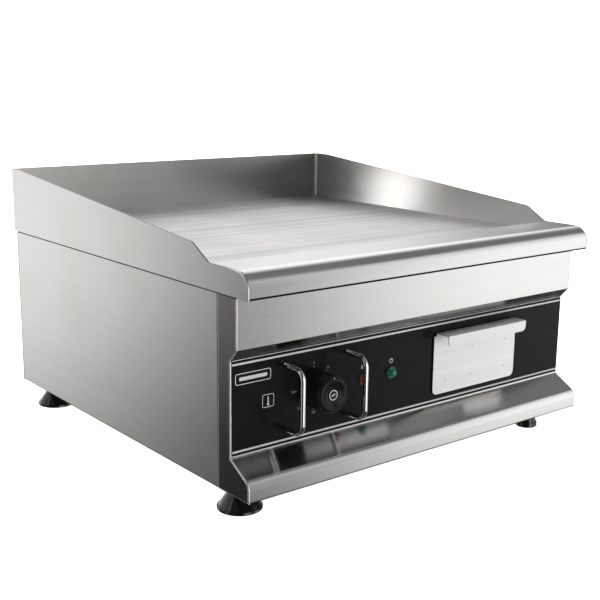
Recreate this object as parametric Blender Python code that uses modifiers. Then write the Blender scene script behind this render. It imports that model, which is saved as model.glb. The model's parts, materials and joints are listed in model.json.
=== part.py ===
"""Electric flat-top griddle with splash guard, thermostat knob, grease drawer and levelling feet.

Units are metres.  Every piece is drawn in body coordinates: x across, y back from the face of the
upper front panel, z up from the underside of the body.  The empty "griddle_frame" carries them
to the part's own frame, whose origin is on the floor under the middle of the whole griddle.
"""
import math

import bmesh
import bpy
from mathutils import Vector

# Overall
FOOT_HEIGHT = 0.033
FRONT_FACE = -0.287  # y of the upper front panel's face in the part's own frame
GAP = 0.0003  # between pieces that touch
SHEET = 0.0012  # body panels
BEND = 0.0025  # outer radius of a folded edge

# Body
BODY_HALF = 0.298
BODY_BOTTOM = 0.0005
BODY_TOP = 0.2365
BODY_REAR = 0.586
CHEEK_SEAM = 0.0378  # where the side panel ends and the front cheek begins
BASE_LEVEL = 0.0020
BASE_TOP = BASE_LEVEL + SHEET
INSIDE_HALF = BODY_HALF - SHEET - GAP

# Front panel, as points (y, z)
FASCIA_Y = 0.0126
FASCIA_TOP = 0.162
FASCIA_BOTTOM = 0.045
UPPER_BEND_Z = 0.176
LOWER_NOSE_Y = -0.0240
LOWER_NOSE_Z = 0.0242
LOWER_NOSE_RADIUS = 0.014

# Splash guard and front deck
SPLASH_HALF = 0.300
SPLASH_SHEET = 0.0020
SPLASH_REAR = 0.592
SPLASH_BOTTOM = 0.2385
SPLASH_TOP = 0.333
SPLASH_TOP_FRONT = 0.559  # the top edge is level from the rear to here
SPLASH_BEND = 0.0025
KINK_HIGH = (0.087, 0.2895)
KINK_LOW = (0.052, 0.270)
DECK_LEVEL = 0.270
DECK_SHEET = 0.0015
DECK_REAR = 0.0500
DECK_HALF = SPLASH_HALF - SPLASH_SHEET - GAP
NOSE_Y = -0.0254
NOSE_RADIUS = 0.022

# Griddle plate
PLATE_TOP = 0.2545
PLATE_THICK = 0.010
PLATE_UNDER = PLATE_TOP - PLATE_THICK
PLATE_FRONT = DECK_REAR + GAP
PLATE_REAR = SPLASH_REAR - SPLASH_SHEET - GAP
GUTTER_FRONT = 0.0620
GUTTER_REAR = 0.0840
GUTTER_DEPTH = 0.006
GUTTER_HALF = 0.2900
DRAIN_RADIUS = 0.014
DRAIN_Y = (GUTTER_FRONT + GUTTER_REAR) / 2

# Heating
ELEMENT_RADIUS = 0.004
ELEMENT_LEVEL = PLATE_UNDER - GAP - ELEMENT_RADIUS
ELEMENT_CENTRES = (-0.185, 0.0, 0.185)
ELEMENT_PITCH = 0.045
ELEMENT_TERMINAL_Y = 0.104
ELEMENT_REAR_Y = 0.530
ELEMENT_FRONT_Y = 0.135
TERMINAL_LEVEL = 0.188
CLAMP_LEVEL = ELEMENT_LEVEL - ELEMENT_RADIUS - GAP - 0.003
CLAMP_YS = (0.220, 0.440)
BLANKET_LOW = 0.200
BLANKET_HIGH = 0.228
LINING_FRONT = 0.118
LINING_REAR = 0.560
LINING_HALF = 0.262
SHIELD_LEVEL = 0.1985
CAPILLARY_RADIUS = 0.001
BULB_RADIUS = 0.003

# Controls
KNOB_X = -0.175
KNOB_Z = 0.1085
KNOB_RADIUS = 0.0237
KNOB_FRONT = -0.0275
KNOB_GRIP_RADIUS = 0.0230
KNOB_CREST_RADIUS = 0.0178
KNOB_POCKET = 0.0105  # depth of the centre cap's pocket below the crest
CAP_RADIUS = 0.0070
SPINDLE_RADIUS = 0.003
LAMP_Z = 0.1055
LAMP_XS = {"green": -0.0465, "orange": -0.0940}
LAMP_RADIUS = 0.0079
LAMP_BODY_RADIUS = 0.0055
RAIL_XS = {"left": -0.2243, "right": -0.1272}
RAIL_LOW = 0.0688
RAIL_HIGH = 0.1468
RAIL_RADIUS = 0.0033
RAIL_FRONT = -0.0290
RAIL_BEND = 0.013
RAIL_REAR = 0.0215
OVERLAY_THICK = 0.0005
OVERLAY_HALF = 0.2960
OVERLAY_TOP_MARGIN = 0.0013
OVERLAY_LOW_MARGIN = 0.0015
OVERLAY_FRONT = FASCIA_Y - GAP - OVERLAY_THICK
RESET_X = 0.180
RESET_Z = 0.120
RESET_RADIUS = 0.0035

# Grease drawer
DRAWER_X = 0.111
DRAWER_FRONT_HALF = 0.082
DRAWER_FRONT_LOW = 0.060
DRAWER_FRONT_HIGH = 0.146
DRAWER_FACE_Y = 0.0092
PAN_HALF = 0.075
PAN_LOW = 0.066
PAN_HIGH = 0.132
PAN_REAR = 0.350
OPENING_SLACK = 0.003
HANDLE_REACH = 0.0220
HANDLE_DROP = 0.0150
HANDLE_INSET = 0.0045

# Vent slots in the rear panel and in the base plate
VENT_COLUMNS = (-0.070, 0.070)
VENT_HALF = 0.045
VENT_LOW = 0.120
VENT_PITCH = 0.014
BASE_VENT_COLUMNS = (-0.120, 0.120)
BASE_VENT_HALF = 0.050
BASE_VENT_FRONT = 0.240
BASE_VENT_PITCH = 0.020

# Rear
GLAND_X = -0.200
GLAND_Z = 0.040
EARTH_X = -0.140
EARTH_Z = 0.030
GLAND_THREAD_RADIUS = 0.010

# Feet; the right-hand pair has narrow pads with a thick rim
FOOT_PLACES = {
    "front_left": (-0.2646, 0.0404),
    "front_right": (0.2530, 0.0275),
    "rear_left": (-0.2646, 0.5406),
    "rear_right": (0.2530, 0.5406),
}
FOOT_FLANGE_RADII = {"left": 0.0282, "right": 0.0156}
FOOT_RIMS = {"left": 0.0045, "right": 0.0080}
FOOT_NECK_RADIUS = 0.0095
FOOT_FLARE = 0.95  # below 1 the flange is a dome, above 1 a bell
STEM_RADIUS = 0.004
STEM_TOP = 0.026

SIDES = {"left": -1, "right": 1}


# ---------------------------------------------------------------- scene and materials

def clear_scene():
    for thing in list(bpy.data.objects):
        bpy.data.objects.remove(thing, do_unlink=True)


def new_collection(name):
    collection = bpy.data.collections.new(name)
    bpy.context.scene.collection.children.link(collection)
    return collection


def new_material(name, colour, roughness, metallic):
    material = bpy.data.materials.new(name)
    material.use_nodes = True
    shader = material.node_tree.nodes["Principled BSDF"]
    shader.inputs["Base Color"].default_value = (*colour, 1.0)
    shader.inputs["Roughness"].default_value = roughness
    shader.inputs["Metallic"].default_value = metallic
    return material


clear_scene()
PARTS = new_collection("flat_top_griddle")
CUTTERS = new_collection("cutters")

STAINLESS = new_material("brushed_stainless", (0.62, 0.61, 0.59), 0.32, 1.0)
PLATE_STEEL = new_material("ground_plate_steel", (0.74, 0.74, 0.73), 0.38, 1.0)
ZINC = new_material("galvanised_steel", (0.55, 0.56, 0.57), 0.45, 1.0)
CHROME = new_material("chrome", (0.80, 0.80, 0.80), 0.08, 1.0)
FASCIA_BLACK = new_material("fascia_black", (0.012, 0.012, 0.012), 0.25, 0.0)
BLACK_PLASTIC = new_material("black_plastic", (0.010, 0.010, 0.010), 0.22, 0.0)
FOOT_BLACK = new_material("foot_black", (0.008, 0.008, 0.008), 0.15, 0.0)
GREEN_LENS = new_material("green_lens", (0.01, 0.16, 0.08), 0.12, 0.0)
ORANGE_LENS = new_material("orange_lens", (0.42, 0.11, 0.02), 0.12, 0.0)
RED_PLASTIC = new_material("red_plastic", (0.50, 0.02, 0.02), 0.35, 0.0)
WOOL = new_material("mineral_wool", (0.62, 0.58, 0.45), 0.95, 0.0)
CREAM_PLASTIC = new_material("cream_plastic", (0.75, 0.72, 0.62), 0.45, 0.0)
COPPER = new_material("copper_tube", (0.72, 0.38, 0.22), 0.30, 1.0)
BRASS = new_material("brass", (0.72, 0.54, 0.24), 0.28, 1.0)


def new_carrier(name, place=(0.0, 0.0, 0.0), parent=None):
    """An empty that carries the pieces of one body; a moving body's is on its joint axis."""
    carrier = bpy.data.objects.new(name, None)
    carrier.location = place
    carrier.parent = parent
    PARTS.objects.link(carrier)
    return carrier


FRAME = new_carrier("griddle_frame", (0.0, FRONT_FACE, FOOT_HEIGHT))


def adopt(piece, material, collection=None):
    """Puts a new object in its collection, under the frame, with its material."""
    (collection or PARTS).objects.link(piece)
    piece.parent = FRAME
    if material is not None:
        piece.data.materials.append(material)
    return piece


def ride_on(piece, carrier):
    """Moves a piece under a carrier without moving it in space."""
    piece.location = piece.location - carrier.location
    piece.parent = carrier


# ---------------------------------------------------------------- outlines

def fillet(points, radius, steps=6, closed=False):
    """The path with its corners rounded; radius is one number, or one for each point."""
    radii = radius if isinstance(radius, (list, tuple)) else [radius] * len(points)
    path = []
    for index, (point, bend) in enumerate(zip(points, radii)):
        corner = Vector(point)
        at_end = not closed and index in (0, len(points) - 1)
        if bend == 0 or at_end:
            path.append(corner)
            continue
        before = (Vector(points[index - 1]) - corner).normalized()
        after = (Vector(points[(index + 1) % len(points)]) - corner).normalized()
        half_angle = before.angle(after) / 2
        reach = bend / math.tan(half_angle)
        centre = corner + (before + after).normalized() * (bend / math.sin(half_angle))
        start = corner + before * reach - centre
        end = corner + after * reach - centre
        turn = start.angle(end)
        for step in range(steps + 1):
            part = step / steps
            from_start = math.sin((1 - part) * turn) / math.sin(turn)
            from_end = math.sin(part * turn) / math.sin(turn)
            path.append(centre + start * from_start + end * from_end)
    return without_repeats(path)


def without_repeats(path, closest=1e-6):
    kept = [path[0]]
    for point in path[1:]:
        if (point - kept[-1]).length > closest:
            kept.append(point)
    return kept


def rectangle(left, low, right, high, radius=0.0, steps=4):
    corners = [(left, low), (right, low), (right, high), (left, high)]
    return fillet(corners, radius, steps, closed=True)


def circle(x, y, radius, steps=16):
    turns = [2 * math.pi * step / steps for step in range(steps)]
    return [Vector((x + radius * math.cos(turn), y + radius * math.sin(turn))) for turn in turns]


# ---------------------------------------------------------------- shapes

def mesh_object(name, mesh, material, collection=None):
    bmesh.ops.recalc_face_normals(mesh, faces=mesh.faces)
    data = bpy.data.meshes.new(name)
    mesh.to_mesh(data)
    mesh.free()
    return adopt(bpy.data.objects.new(name, data), material, collection)


def block(name, low, high, material, collection=None):
    """A box between two corners."""
    mesh = bmesh.new()
    bmesh.ops.create_cube(mesh, size=1.0)
    size = Vector(high) - Vector(low)
    middle = (Vector(high) + Vector(low)) / 2
    bmesh.ops.scale(mesh, vec=size, verts=mesh.verts)
    bmesh.ops.translate(mesh, vec=middle, verts=mesh.verts)
    return mesh_object(name, mesh, material, collection)


def bevelled(piece, width, segments=2):
    bevel = piece.modifiers.new("rounded_edges", "BEVEL")
    bevel.width = width
    bevel.segments = segments
    return piece


AXIS_TURNS = {"x": (0.0, math.pi / 2, 0.0), "y": (-math.pi / 2, 0.0, 0.0), "z": (0.0, 0.0, 0.0)}


def prism(name, centre, axis, radius, length, sides, material, collection=None):
    """A cylinder, or with six sides a hexagon, centred on a point."""
    mesh = bmesh.new()
    bmesh.ops.create_cone(
        mesh, cap_ends=True, segments=sides, radius1=radius, radius2=radius, depth=length
    )
    piece = mesh_object(name, mesh, material, collection)
    piece.location = centre
    piece.rotation_euler = AXIS_TURNS[axis]
    return piece


# A turned piece's own z axis is laid along the body's y axis, pointing to the front.
TOWARDS_FRONT = (math.pi / 2, 0.0, 0.0)
TOWARDS_REAR = (-math.pi / 2, 0.0, 0.0)


def turned(name, centre, profile, material, turn=(0.0, 0.0, 0.0), steps=24):
    """A piece turned about its own z axis; profile is (radius, height) down the outer side."""
    mesh = bmesh.new()
    corners = [mesh.verts.new((radius, 0.0, height)) for radius, height in profile]
    if profile[0][0] > 0 and profile[-1][0] > 0:
        corners.append(corners[0])
    for pair in zip(corners, corners[1:]):
        mesh.edges.new(pair)
    data = bpy.data.meshes.new(name)
    mesh.to_mesh(data)
    mesh.free()
    piece = adopt(bpy.data.objects.new(name, data), material)
    piece.location = centre
    piece.rotation_euler = turn
    screw = piece.modifiers.new("turn", "SCREW")
    screw.axis = "Z"
    screw.angle = 2 * math.pi
    screw.steps = steps
    screw.render_steps = steps
    screw.use_merge_vertices = True
    screw.merge_threshold = 0.00005
    screw.use_smooth_shade = True
    return piece


PLANES = {
    "xy": (lambda level: (0.0, 0.0, level), (0.0, 0.0, 0.0)),
    "xz": (lambda level: (0.0, level, 0.0), (math.pi / 2, 0.0, 0.0)),
    "yz": (lambda level: (level, 0.0, 0.0), (math.pi / 2, 0.0, math.pi / 2)),
}


def flat_plate(name, loops, plane, low, high, material, collection=None):
    """A flat sheet between two levels, cut to the first loop; the other loops are its holes."""
    curve = bpy.data.curves.new(name, "CURVE")
    curve.dimensions = "2D"
    curve.fill_mode = "BOTH"
    curve.extrude = (high - low) / 2
    for loop in loops:
        spline = curve.splines.new("POLY")
        spline.points.add(len(loop) - 1)
        for point, (across, up) in zip(spline.points, loop):
            point.co = (across, up, 0.0, 1.0)
        spline.use_cyclic_u = True
    piece = adopt(bpy.data.objects.new(name, curve), material, collection)
    place, turn = PLANES[plane]
    piece.location = place((low + high) / 2)
    piece.rotation_euler = turn
    return piece


def rod(name, path, radius, material, fineness=3, widths=None):
    """A round bar or tube along a path; widths scales the radius at each point."""
    curve = bpy.data.curves.new(name, "CURVE")
    curve.dimensions = "3D"
    curve.bevel_depth = radius
    curve.bevel_resolution = fineness
    curve.use_fill_caps = True
    spline = curve.splines.new("POLY")
    spline.points.add(len(path) - 1)
    for index, (point, place) in enumerate(zip(spline.points, path)):
        point.co = (*place, 1.0)
        point.radius = widths[index] if widths else 1.0
    return adopt(bpy.data.objects.new(name, curve), material)


DRAWN_ACROSS = {
    "x": lambda u, v, along: (along, u, v),
    "y": lambda u, v, along: (u, along, v),
    "z": lambda u, v, along: (u, v, along),
}


def folded_sheet(name, profile, axis, start, end, thickness, side, material):
    """A folded sheet: its face follows the profile, drawn across the axis that it runs along.

    The sheet's thickness lies on the side of the profile that side (1 or -1) says.
    """
    place = DRAWN_ACROSS[axis]
    mesh = bmesh.new()
    corners = [mesh.verts.new(place(u, v, start)) for u, v in profile]
    edges = [mesh.edges.new(pair) for pair in zip(corners, corners[1:])]
    made = bmesh.ops.extrude_edge_only(mesh, edges=edges)["geom"]
    moved = [item for item in made if isinstance(item, bmesh.types.BMVert)]
    bmesh.ops.translate(mesh, verts=moved, vec=place(0.0, 0.0, end - start))
    data = bpy.data.meshes.new(name)
    mesh.to_mesh(data)
    mesh.free()
    piece = adopt(bpy.data.objects.new(name, data), material)
    solidify = piece.modifiers.new("sheet", "SOLIDIFY")
    solidify.thickness = thickness
    solidify.offset = side
    solidify.use_even_offset = True
    return piece


def as_mesh(piece, collection=None):
    """Replaces a curve object by its welded mesh, so that it can cut or be cut."""
    bpy.context.view_layer.update()
    evaluated = piece.evaluated_get(bpy.context.evaluated_depsgraph_get())
    data = bpy.data.meshes.new_from_object(evaluated)
    mesh = bmesh.new()
    mesh.from_mesh(data)
    bmesh.ops.remove_doubles(mesh, verts=mesh.verts, dist=0.00001)
    bmesh.ops.recalc_face_normals(mesh, faces=mesh.faces)
    mesh.to_mesh(data)
    mesh.free()
    name = piece.name
    place = piece.location.copy()
    turn = piece.rotation_euler.copy()
    bpy.data.objects.remove(piece, do_unlink=True)
    whole = bpy.data.objects.new(name, data)
    whole.location = place
    whole.rotation_euler = turn
    return adopt(whole, None, collection)


def as_cutter(piece):
    piece.hide_render = True
    piece.display_type = "WIRE"
    return piece


def cut(piece, cutter, operation="DIFFERENCE"):
    boolean = piece.modifiers.new(cutter.name, "BOOLEAN")
    boolean.object = as_cutter(cutter)
    boolean.operation = operation
    boolean.solver = "EXACT"


def smooth_over(piece, angle=math.radians(35)):
    """Smooth shading that keeps edges sharper than the angle."""
    piece.data.shade_smooth()
    piece.data.set_sharp_from_angle(angle=angle)
    return piece


# ---------------------------------------------------------------- body

def front_profile(back=0.0):
    """The outer face of the front, from top to bottom, as points (y, z)."""
    corners = [
        (0.0, BODY_TOP),
        (0.0, UPPER_BEND_Z),
        (FASCIA_Y, FASCIA_TOP),
        (FASCIA_Y, FASCIA_BOTTOM),
        (LOWER_NOSE_Y, LOWER_NOSE_Z),
        (LOWER_NOSE_Y, BODY_BOTTOM),
    ]
    radii = [0.0, BEND, BEND, BEND, LOWER_NOSE_RADIUS, BEND if back else 0.0]
    if back:
        corners.append((LOWER_NOSE_Y + back, BODY_BOTTOM))
        radii.append(0.0)
    return fillet(corners, radii, 5)


def make_front_panel():
    """The folded front: upper face, slope, fascia face, lower slope and rounded lower face."""
    panel = folded_sheet(
        "front_panel", front_profile(back=0.014), "x", -INSIDE_HALF, INSIDE_HALF, SHEET, 1, STAINLESS
    )
    holes = [rectangle(*drawer_opening(), radius=0.004)]
    holes.append(circle(KNOB_X, KNOB_Z, 0.0060))
    holes += [circle(x, LAMP_Z, LAMP_BODY_RADIUS + 0.0004) for x in LAMP_XS.values()]
    holes += [
        circle(x, z, RAIL_RADIUS + 0.0004) for x in RAIL_XS.values() for z in (RAIL_LOW, RAIL_HIGH)
    ]
    cutter = flat_plate("front_holes", holes, "xz", FASCIA_Y - 0.005, FASCIA_Y + 0.005, None, CUTTERS)
    cut(panel, as_mesh(cutter, CUTTERS))
    smooth_over(panel)


def drawer_opening():
    """Left, low, right and high of the hole that the grease drawer slides through."""
    return (
        DRAWER_X - PAN_HALF - OPENING_SLACK,
        PAN_LOW - OPENING_SLACK,
        DRAWER_X + PAN_HALF + OPENING_SLACK,
        PAN_HIGH + OPENING_SLACK,
    )


def make_cheeks():
    """Flat end plates that close the front panel's ends and carry its outline."""
    outline = front_profile()
    outline += [Vector((CHEEK_SEAM - GAP, BODY_BOTTOM)), Vector((CHEEK_SEAM - GAP, BODY_TOP))]
    for side, sign in SIDES.items():
        faces = sorted((sign * BODY_HALF, sign * (BODY_HALF - SHEET)))
        flat_plate(f"front_cheek_{side}", [outline], "yz", *faces, STAINLESS)


def make_side_panels():
    for side, sign in SIDES.items():
        profile = fillet(
            [
                (sign * BODY_HALF, BODY_TOP),
                (sign * BODY_HALF, BODY_BOTTOM),
                (sign * (BODY_HALF - 0.014), BODY_BOTTOM),
            ],
            BEND,
            4,
        )
        panel = folded_sheet(
            f"side_panel_{side}",
            profile,
            "y",
            CHEEK_SEAM + 0.0005,
            BODY_REAR - SHEET - GAP,
            SHEET,
            sign,
            STAINLESS,
        )
        smooth_over(panel)


def make_rear_panel():
    loops = [rectangle(-BODY_HALF, BODY_BOTTOM, BODY_HALF, BODY_TOP)]
    for column in VENT_COLUMNS:
        for row in range(6):
            middle = VENT_LOW + VENT_PITCH * row
            left, right = column - VENT_HALF, column + VENT_HALF
            loops.append(rectangle(left, middle - 0.003, right, middle + 0.003, 0.003, 3))
    loops.append(circle(GLAND_X, GLAND_Z, GLAND_THREAD_RADIUS + GAP, 20))
    loops.append(circle(EARTH_X, EARTH_Z, 0.0034, 12))
    loops.append(circle(RESET_X, RESET_Z, RESET_RADIUS + 0.0008, 16))
    flat_plate("rear_panel", loops, "xz", BODY_REAR - SHEET, BODY_REAR, STAINLESS)


def make_base_plate():
    front = LOWER_NOSE_Y + BEND + GAP
    rear = BODY_REAR - SHEET - GAP
    half = BODY_HALF - BEND - GAP
    loops = [rectangle(-half, front, half, rear)]
    for x, y in FOOT_PLACES.values():
        loops.append(circle(x, y, STEM_RADIUS + 0.0005, 16))
    for column in BASE_VENT_COLUMNS:
        for row in range(6):
            middle = BASE_VENT_FRONT + BASE_VENT_PITCH * row
            left, right = column - BASE_VENT_HALF, column + BASE_VENT_HALF
            loops.append(rectangle(left, middle - 0.004, right, middle + 0.004, 0.004, 3))
    flat_plate("base_plate", loops, "xy", BASE_LEVEL, BASE_TOP, ZINC)


def make_fascia_overlay():
    """The thin black control sheet stuck on the fascia face."""
    left, low, right, high = drawer_opening()
    sheet_low = FASCIA_BOTTOM + OVERLAY_LOW_MARGIN
    sheet_high = FASCIA_TOP - OVERLAY_TOP_MARGIN
    loops = [
        rectangle(-OVERLAY_HALF, sheet_low, OVERLAY_HALF, sheet_high, 0.001, 2),
        rectangle(left, low, right, high, 0.004),
        circle(KNOB_X, KNOB_Z, 0.0060),
    ]
    loops += [circle(x, LAMP_Z, LAMP_BODY_RADIUS + 0.0004) for x in LAMP_XS.values()]
    loops += [
        circle(x, z, RAIL_RADIUS + 0.0004) for x in RAIL_XS.values() for z in (RAIL_LOW, RAIL_HIGH)
    ]
    flat_plate(
        "fascia_overlay", loops, "xz", OVERLAY_FRONT, OVERLAY_FRONT + OVERLAY_THICK, FASCIA_BLACK
    )


# ---------------------------------------------------------------- top

def side_outline(rear, bottom):
    """The splash guard seen from the side, as points (y, z), down to a bottom and back to a rear."""
    corners = [
        (rear, bottom),
        (rear, SPLASH_TOP),
        (SPLASH_TOP_FRONT, SPLASH_TOP),
        KINK_HIGH,
        KINK_LOW,
        (NOSE_Y, DECK_LEVEL),
        (NOSE_Y, bottom),
    ]
    return fillet(corners, [0.0, 0.0, 0.004, 0.003, 0.003, NOSE_RADIUS, 0.0], 8, closed=True)


def make_splash_guard():
    """One sheet bent round the back and both sides, its side profile cut to slope to the front."""
    beyond = 0.010
    profile = fillet(
        [
            (-SPLASH_HALF, NOSE_Y - beyond),
            (-SPLASH_HALF, SPLASH_REAR),
            (SPLASH_HALF, SPLASH_REAR),
            (SPLASH_HALF, NOSE_Y - beyond),
        ],
        SPLASH_BEND,
        5,
    )
    guard = folded_sheet(
        "splash_guard", profile, "z", SPLASH_BOTTOM, SPLASH_TOP + beyond, SPLASH_SHEET, -1, STAINLESS
    )
    outline = side_outline(SPLASH_REAR + beyond, SPLASH_BOTTOM - beyond)
    reach = SPLASH_HALF + beyond
    keeper = flat_plate("splash_side_shape", [outline], "yz", -reach, reach, None, CUTTERS)
    cut(guard, as_mesh(keeper, CUTTERS), "INTERSECT")
    smooth_over(guard)


def make_front_deck():
    """The level strip in front of the plate, with the rounded nose and a drop to the gutter."""
    corners = [
        (-0.0040, SPLASH_BOTTOM + GAP),
        (NOSE_Y, SPLASH_BOTTOM + GAP),
        (NOSE_Y, DECK_LEVEL),
        (DECK_REAR, DECK_LEVEL),
        (DECK_REAR, PLATE_UNDER + 0.002),
    ]
    profile = fillet(corners, [0.0, BEND, NOSE_RADIUS, BEND, 0.0], 8)
    deck = folded_sheet(
        "front_deck", profile, "x", -DECK_HALF, DECK_HALF, DECK_SHEET, -1, STAINLESS
    )
    smooth_over(deck)


def make_griddle_plate():
    """The thick cooking plate, with a gutter along its front and a drain hole over the drawer."""
    corners = [
        (-DECK_HALF, PLATE_FRONT),
        (DECK_HALF, PLATE_FRONT),
        (DECK_HALF, PLATE_REAR),
        (-DECK_HALF, PLATE_REAR),
    ]
    outline = fillet(corners, [0.0, 0.0, SPLASH_BEND, SPLASH_BEND], 4, closed=True)
    plate = as_mesh(flat_plate("griddle_plate", [outline], "xy", PLATE_UNDER, PLATE_TOP, PLATE_STEEL))
    gutter_floor = PLATE_TOP - GUTTER_DEPTH
    trough = rectangle(-GUTTER_HALF, GUTTER_FRONT, GUTTER_HALF, GUTTER_REAR, 0.008)
    gutter = flat_plate("gutter_shape", [trough], "xy", gutter_floor, PLATE_TOP + 0.005, None, CUTTERS)
    cut(plate, as_mesh(gutter, CUTTERS))
    drain = prism(
        "drain_shape",
        (DRAWER_X, DRAIN_Y, PLATE_UNDER),
        "z",
        DRAIN_RADIUS - 0.004,
        0.030,
        24,
        None,
        CUTTERS,
    )
    cut(plate, drain)


def make_drain_spout():
    """The tube under the drain hole that leads the fat down into the drawer."""
    top = PLATE_UNDER - GAP
    bottom = PAN_HIGH + 0.016
    turned(
        "drain_spout",
        (DRAWER_X, DRAIN_Y, bottom),
        [
            (DRAIN_RADIUS, top - bottom),
            (DRAIN_RADIUS, 0.0),
            (DRAIN_RADIUS - 0.0015, 0.0),
            (DRAIN_RADIUS - 0.0015, top - bottom),
        ],
        STAINLESS,
    )


def make_plate_supports():
    """Angles along both sides, and one across the front, that carry the plate."""
    shelf = PLATE_UNDER - GAP
    for side, sign in SIDES.items():
        wall = sign * (INSIDE_HALF - GAP)
        profile = fillet([(wall, 0.212), (wall, shelf), (sign * 0.270, shelf)], BEND, 3)
        folded_sheet(f"plate_support_{side}", profile, "y", 0.060, 0.578, 0.002, -sign, ZINC)
    profile = fillet([(0.030, 0.212), (0.030, shelf), (0.054, shelf)], BEND, 3)
    reach = INSIDE_HALF - GAP
    folded_sheet("front_crossmember", profile, "x", -reach, reach, 0.002, -1, ZINC)


# ---------------------------------------------------------------- heating

def element_path(centre):
    """Four runs of one tubular element, with both ends turned down at the front."""
    runs = [centre + ELEMENT_PITCH * (index - 1.5) for index in range(4)]
    turn_y = ELEMENT_REAR_Y + ELEMENT_PITCH / 2
    back_y = ELEMENT_FRONT_Y - ELEMENT_PITCH / 2
    corners = [
        (runs[0], ELEMENT_TERMINAL_Y, TERMINAL_LEVEL),
        (runs[0], ELEMENT_TERMINAL_Y, ELEMENT_LEVEL),
        (runs[0], turn_y, ELEMENT_LEVEL),
        (runs[1], turn_y, ELEMENT_LEVEL),
        (runs[1], back_y, ELEMENT_LEVEL),
        (runs[2], back_y, ELEMENT_LEVEL),
        (runs[2], turn_y, ELEMENT_LEVEL),
        (runs[3], turn_y, ELEMENT_LEVEL),
        (runs[3], ELEMENT_TERMINAL_Y, ELEMENT_LEVEL),
        (runs[3], ELEMENT_TERMINAL_Y, TERMINAL_LEVEL),
    ]
    u_turn = ELEMENT_PITCH / 2
    down = 0.012
    return fillet(corners, [0.0, down, *[u_turn] * 6, down, 0.0], 5)


def make_heating():
    for number, centre in enumerate(ELEMENT_CENTRES, start=1):
        rod(f"heating_element_{number}", element_path(centre), ELEMENT_RADIUS, STAINLESS, 2)
    for place, y in zip(("front", "rear"), CLAMP_YS):
        block(
            f"element_clamp_{place}",
            (-0.262, y - 0.010, CLAMP_LEVEL),
            (0.262, y + 0.010, CLAMP_LEVEL + 0.003),
            ZINC,
        )
    blanket = block(
        "insulation_blanket",
        (-LINING_HALF, LINING_FRONT, BLANKET_LOW),
        (LINING_HALF, LINING_REAR, BLANKET_HIGH),
        WOOL,
    )
    bevelled(blanket, 0.005)


def make_heat_shield():
    """The tray that carries the insulation, with its side edges turned up."""
    edge = LINING_HALF + 0.003
    rim = BLANKET_HIGH - 0.008
    profile = fillet(
        [(-edge, rim), (-edge, SHIELD_LEVEL), (edge, SHIELD_LEVEL), (edge, rim)],
        BEND,
        3,
    )
    folded_sheet("heat_shield", profile, "y", LINING_FRONT, LINING_REAR, 0.0008, -1, ZINC)


def make_thermostats():
    """The control thermostat behind the knob and the overheat cut-out on the rear panel."""
    back = FASCIA_Y + SHEET + GAP
    turned(
        "thermostat_body",
        (KNOB_X, back, KNOB_Z),
        [
            (0.0050, 0.0),
            (0.0190, 0.0),
            (0.0190, -0.030),
            (0.0, -0.030),
            (0.0, -0.012),
            (0.0050, -0.012),
        ],
        CREAM_PLASTIC,
        TOWARDS_FRONT,
    )
    bulb_x = (ELEMENT_CENTRES[0] + ELEMENT_CENTRES[1]) / 2
    sensor_level = ELEMENT_LEVEL + 0.0005
    capillary = fillet(
        [
            (KNOB_X, back + 0.0305, KNOB_Z),
            (KNOB_X, 0.070, KNOB_Z),
            (bulb_x, 0.070, KNOB_Z),
            (bulb_x, 0.100, 0.150),
            (bulb_x, 0.100, sensor_level),
            (bulb_x, 0.160, sensor_level),
        ],
        0.010,
        4,
    )
    sensing_tube("thermostat_capillary", capillary, 1)
    wall = BODY_REAR - SHEET - GAP
    turned(
        "overheat_cutout",
        (RESET_X, wall, RESET_Z),
        [
            (RESET_RADIUS + 0.0005, 0.0),
            (0.0170, 0.0),
            (0.0170, -0.024),
            (0.0, -0.024),
            (0.0, -0.012),
            (RESET_RADIUS + 0.0005, -0.012),
        ],
        CREAM_PLASTIC,
        TOWARDS_REAR,
    )
    limit_x = (ELEMENT_CENTRES[1] + ELEMENT_CENTRES[2]) / 2
    capillary = fillet(
        [
            (RESET_X, wall - 0.0245, RESET_Z),
            (RESET_X, wall - 0.040, RESET_Z),
            (limit_x, wall - 0.040, RESET_Z),
            (limit_x, 0.572, 0.160),
            (limit_x, 0.572, sensor_level),
            (limit_x, 0.520, sensor_level),
        ],
        0.008,
        4,
    )
    sensing_tube("cutout_capillary", capillary, -1)


def sensing_tube(name, path, direction):
    """A thin capillary whose last stretch swells into its sensing bulb, along y."""
    last = path[-1]
    swell = 0.004
    bulb_length = 0.080
    path = path + [
        last + Vector((0.0, direction * swell, 0.0)),
        last + Vector((0.0, direction * (swell + bulb_length), 0.0)),
    ]
    widths = [1.0] * (len(path) - 2) + [BULB_RADIUS / CAPILLARY_RADIUS] * 2
    rod(name, path, CAPILLARY_RADIUS, COPPER, 2, widths)


# ---------------------------------------------------------------- controls

def make_lamps():
    lens_back = OVERLAY_FRONT - GAP
    stem_back = FASCIA_Y + SHEET + 0.0205
    for colour, x in LAMP_XS.items():
        glass = GREEN_LENS if colour == "green" else ORANGE_LENS
        dome = fillet([(0.0, 0.0080), (0.0062, 0.0080), (0.0062, 0.0020)], 0.003, 4)
        profile = [tuple(point) for point in dome]
        profile += [(LAMP_RADIUS, 0.0020), (LAMP_RADIUS, 0.0), (0.0, 0.0)]
        turned(f"lamp_lens_{colour}", (x, lens_back, LAMP_Z), profile, glass, TOWARDS_FRONT)
        front = lens_back + GAP
        prism(
            f"lamp_body_{colour}",
            (x, (front + stem_back) / 2, LAMP_Z),
            "y",
            LAMP_BODY_RADIUS,
            stem_back - front,
            16,
            BLACK_PLASTIC,
        )


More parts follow.
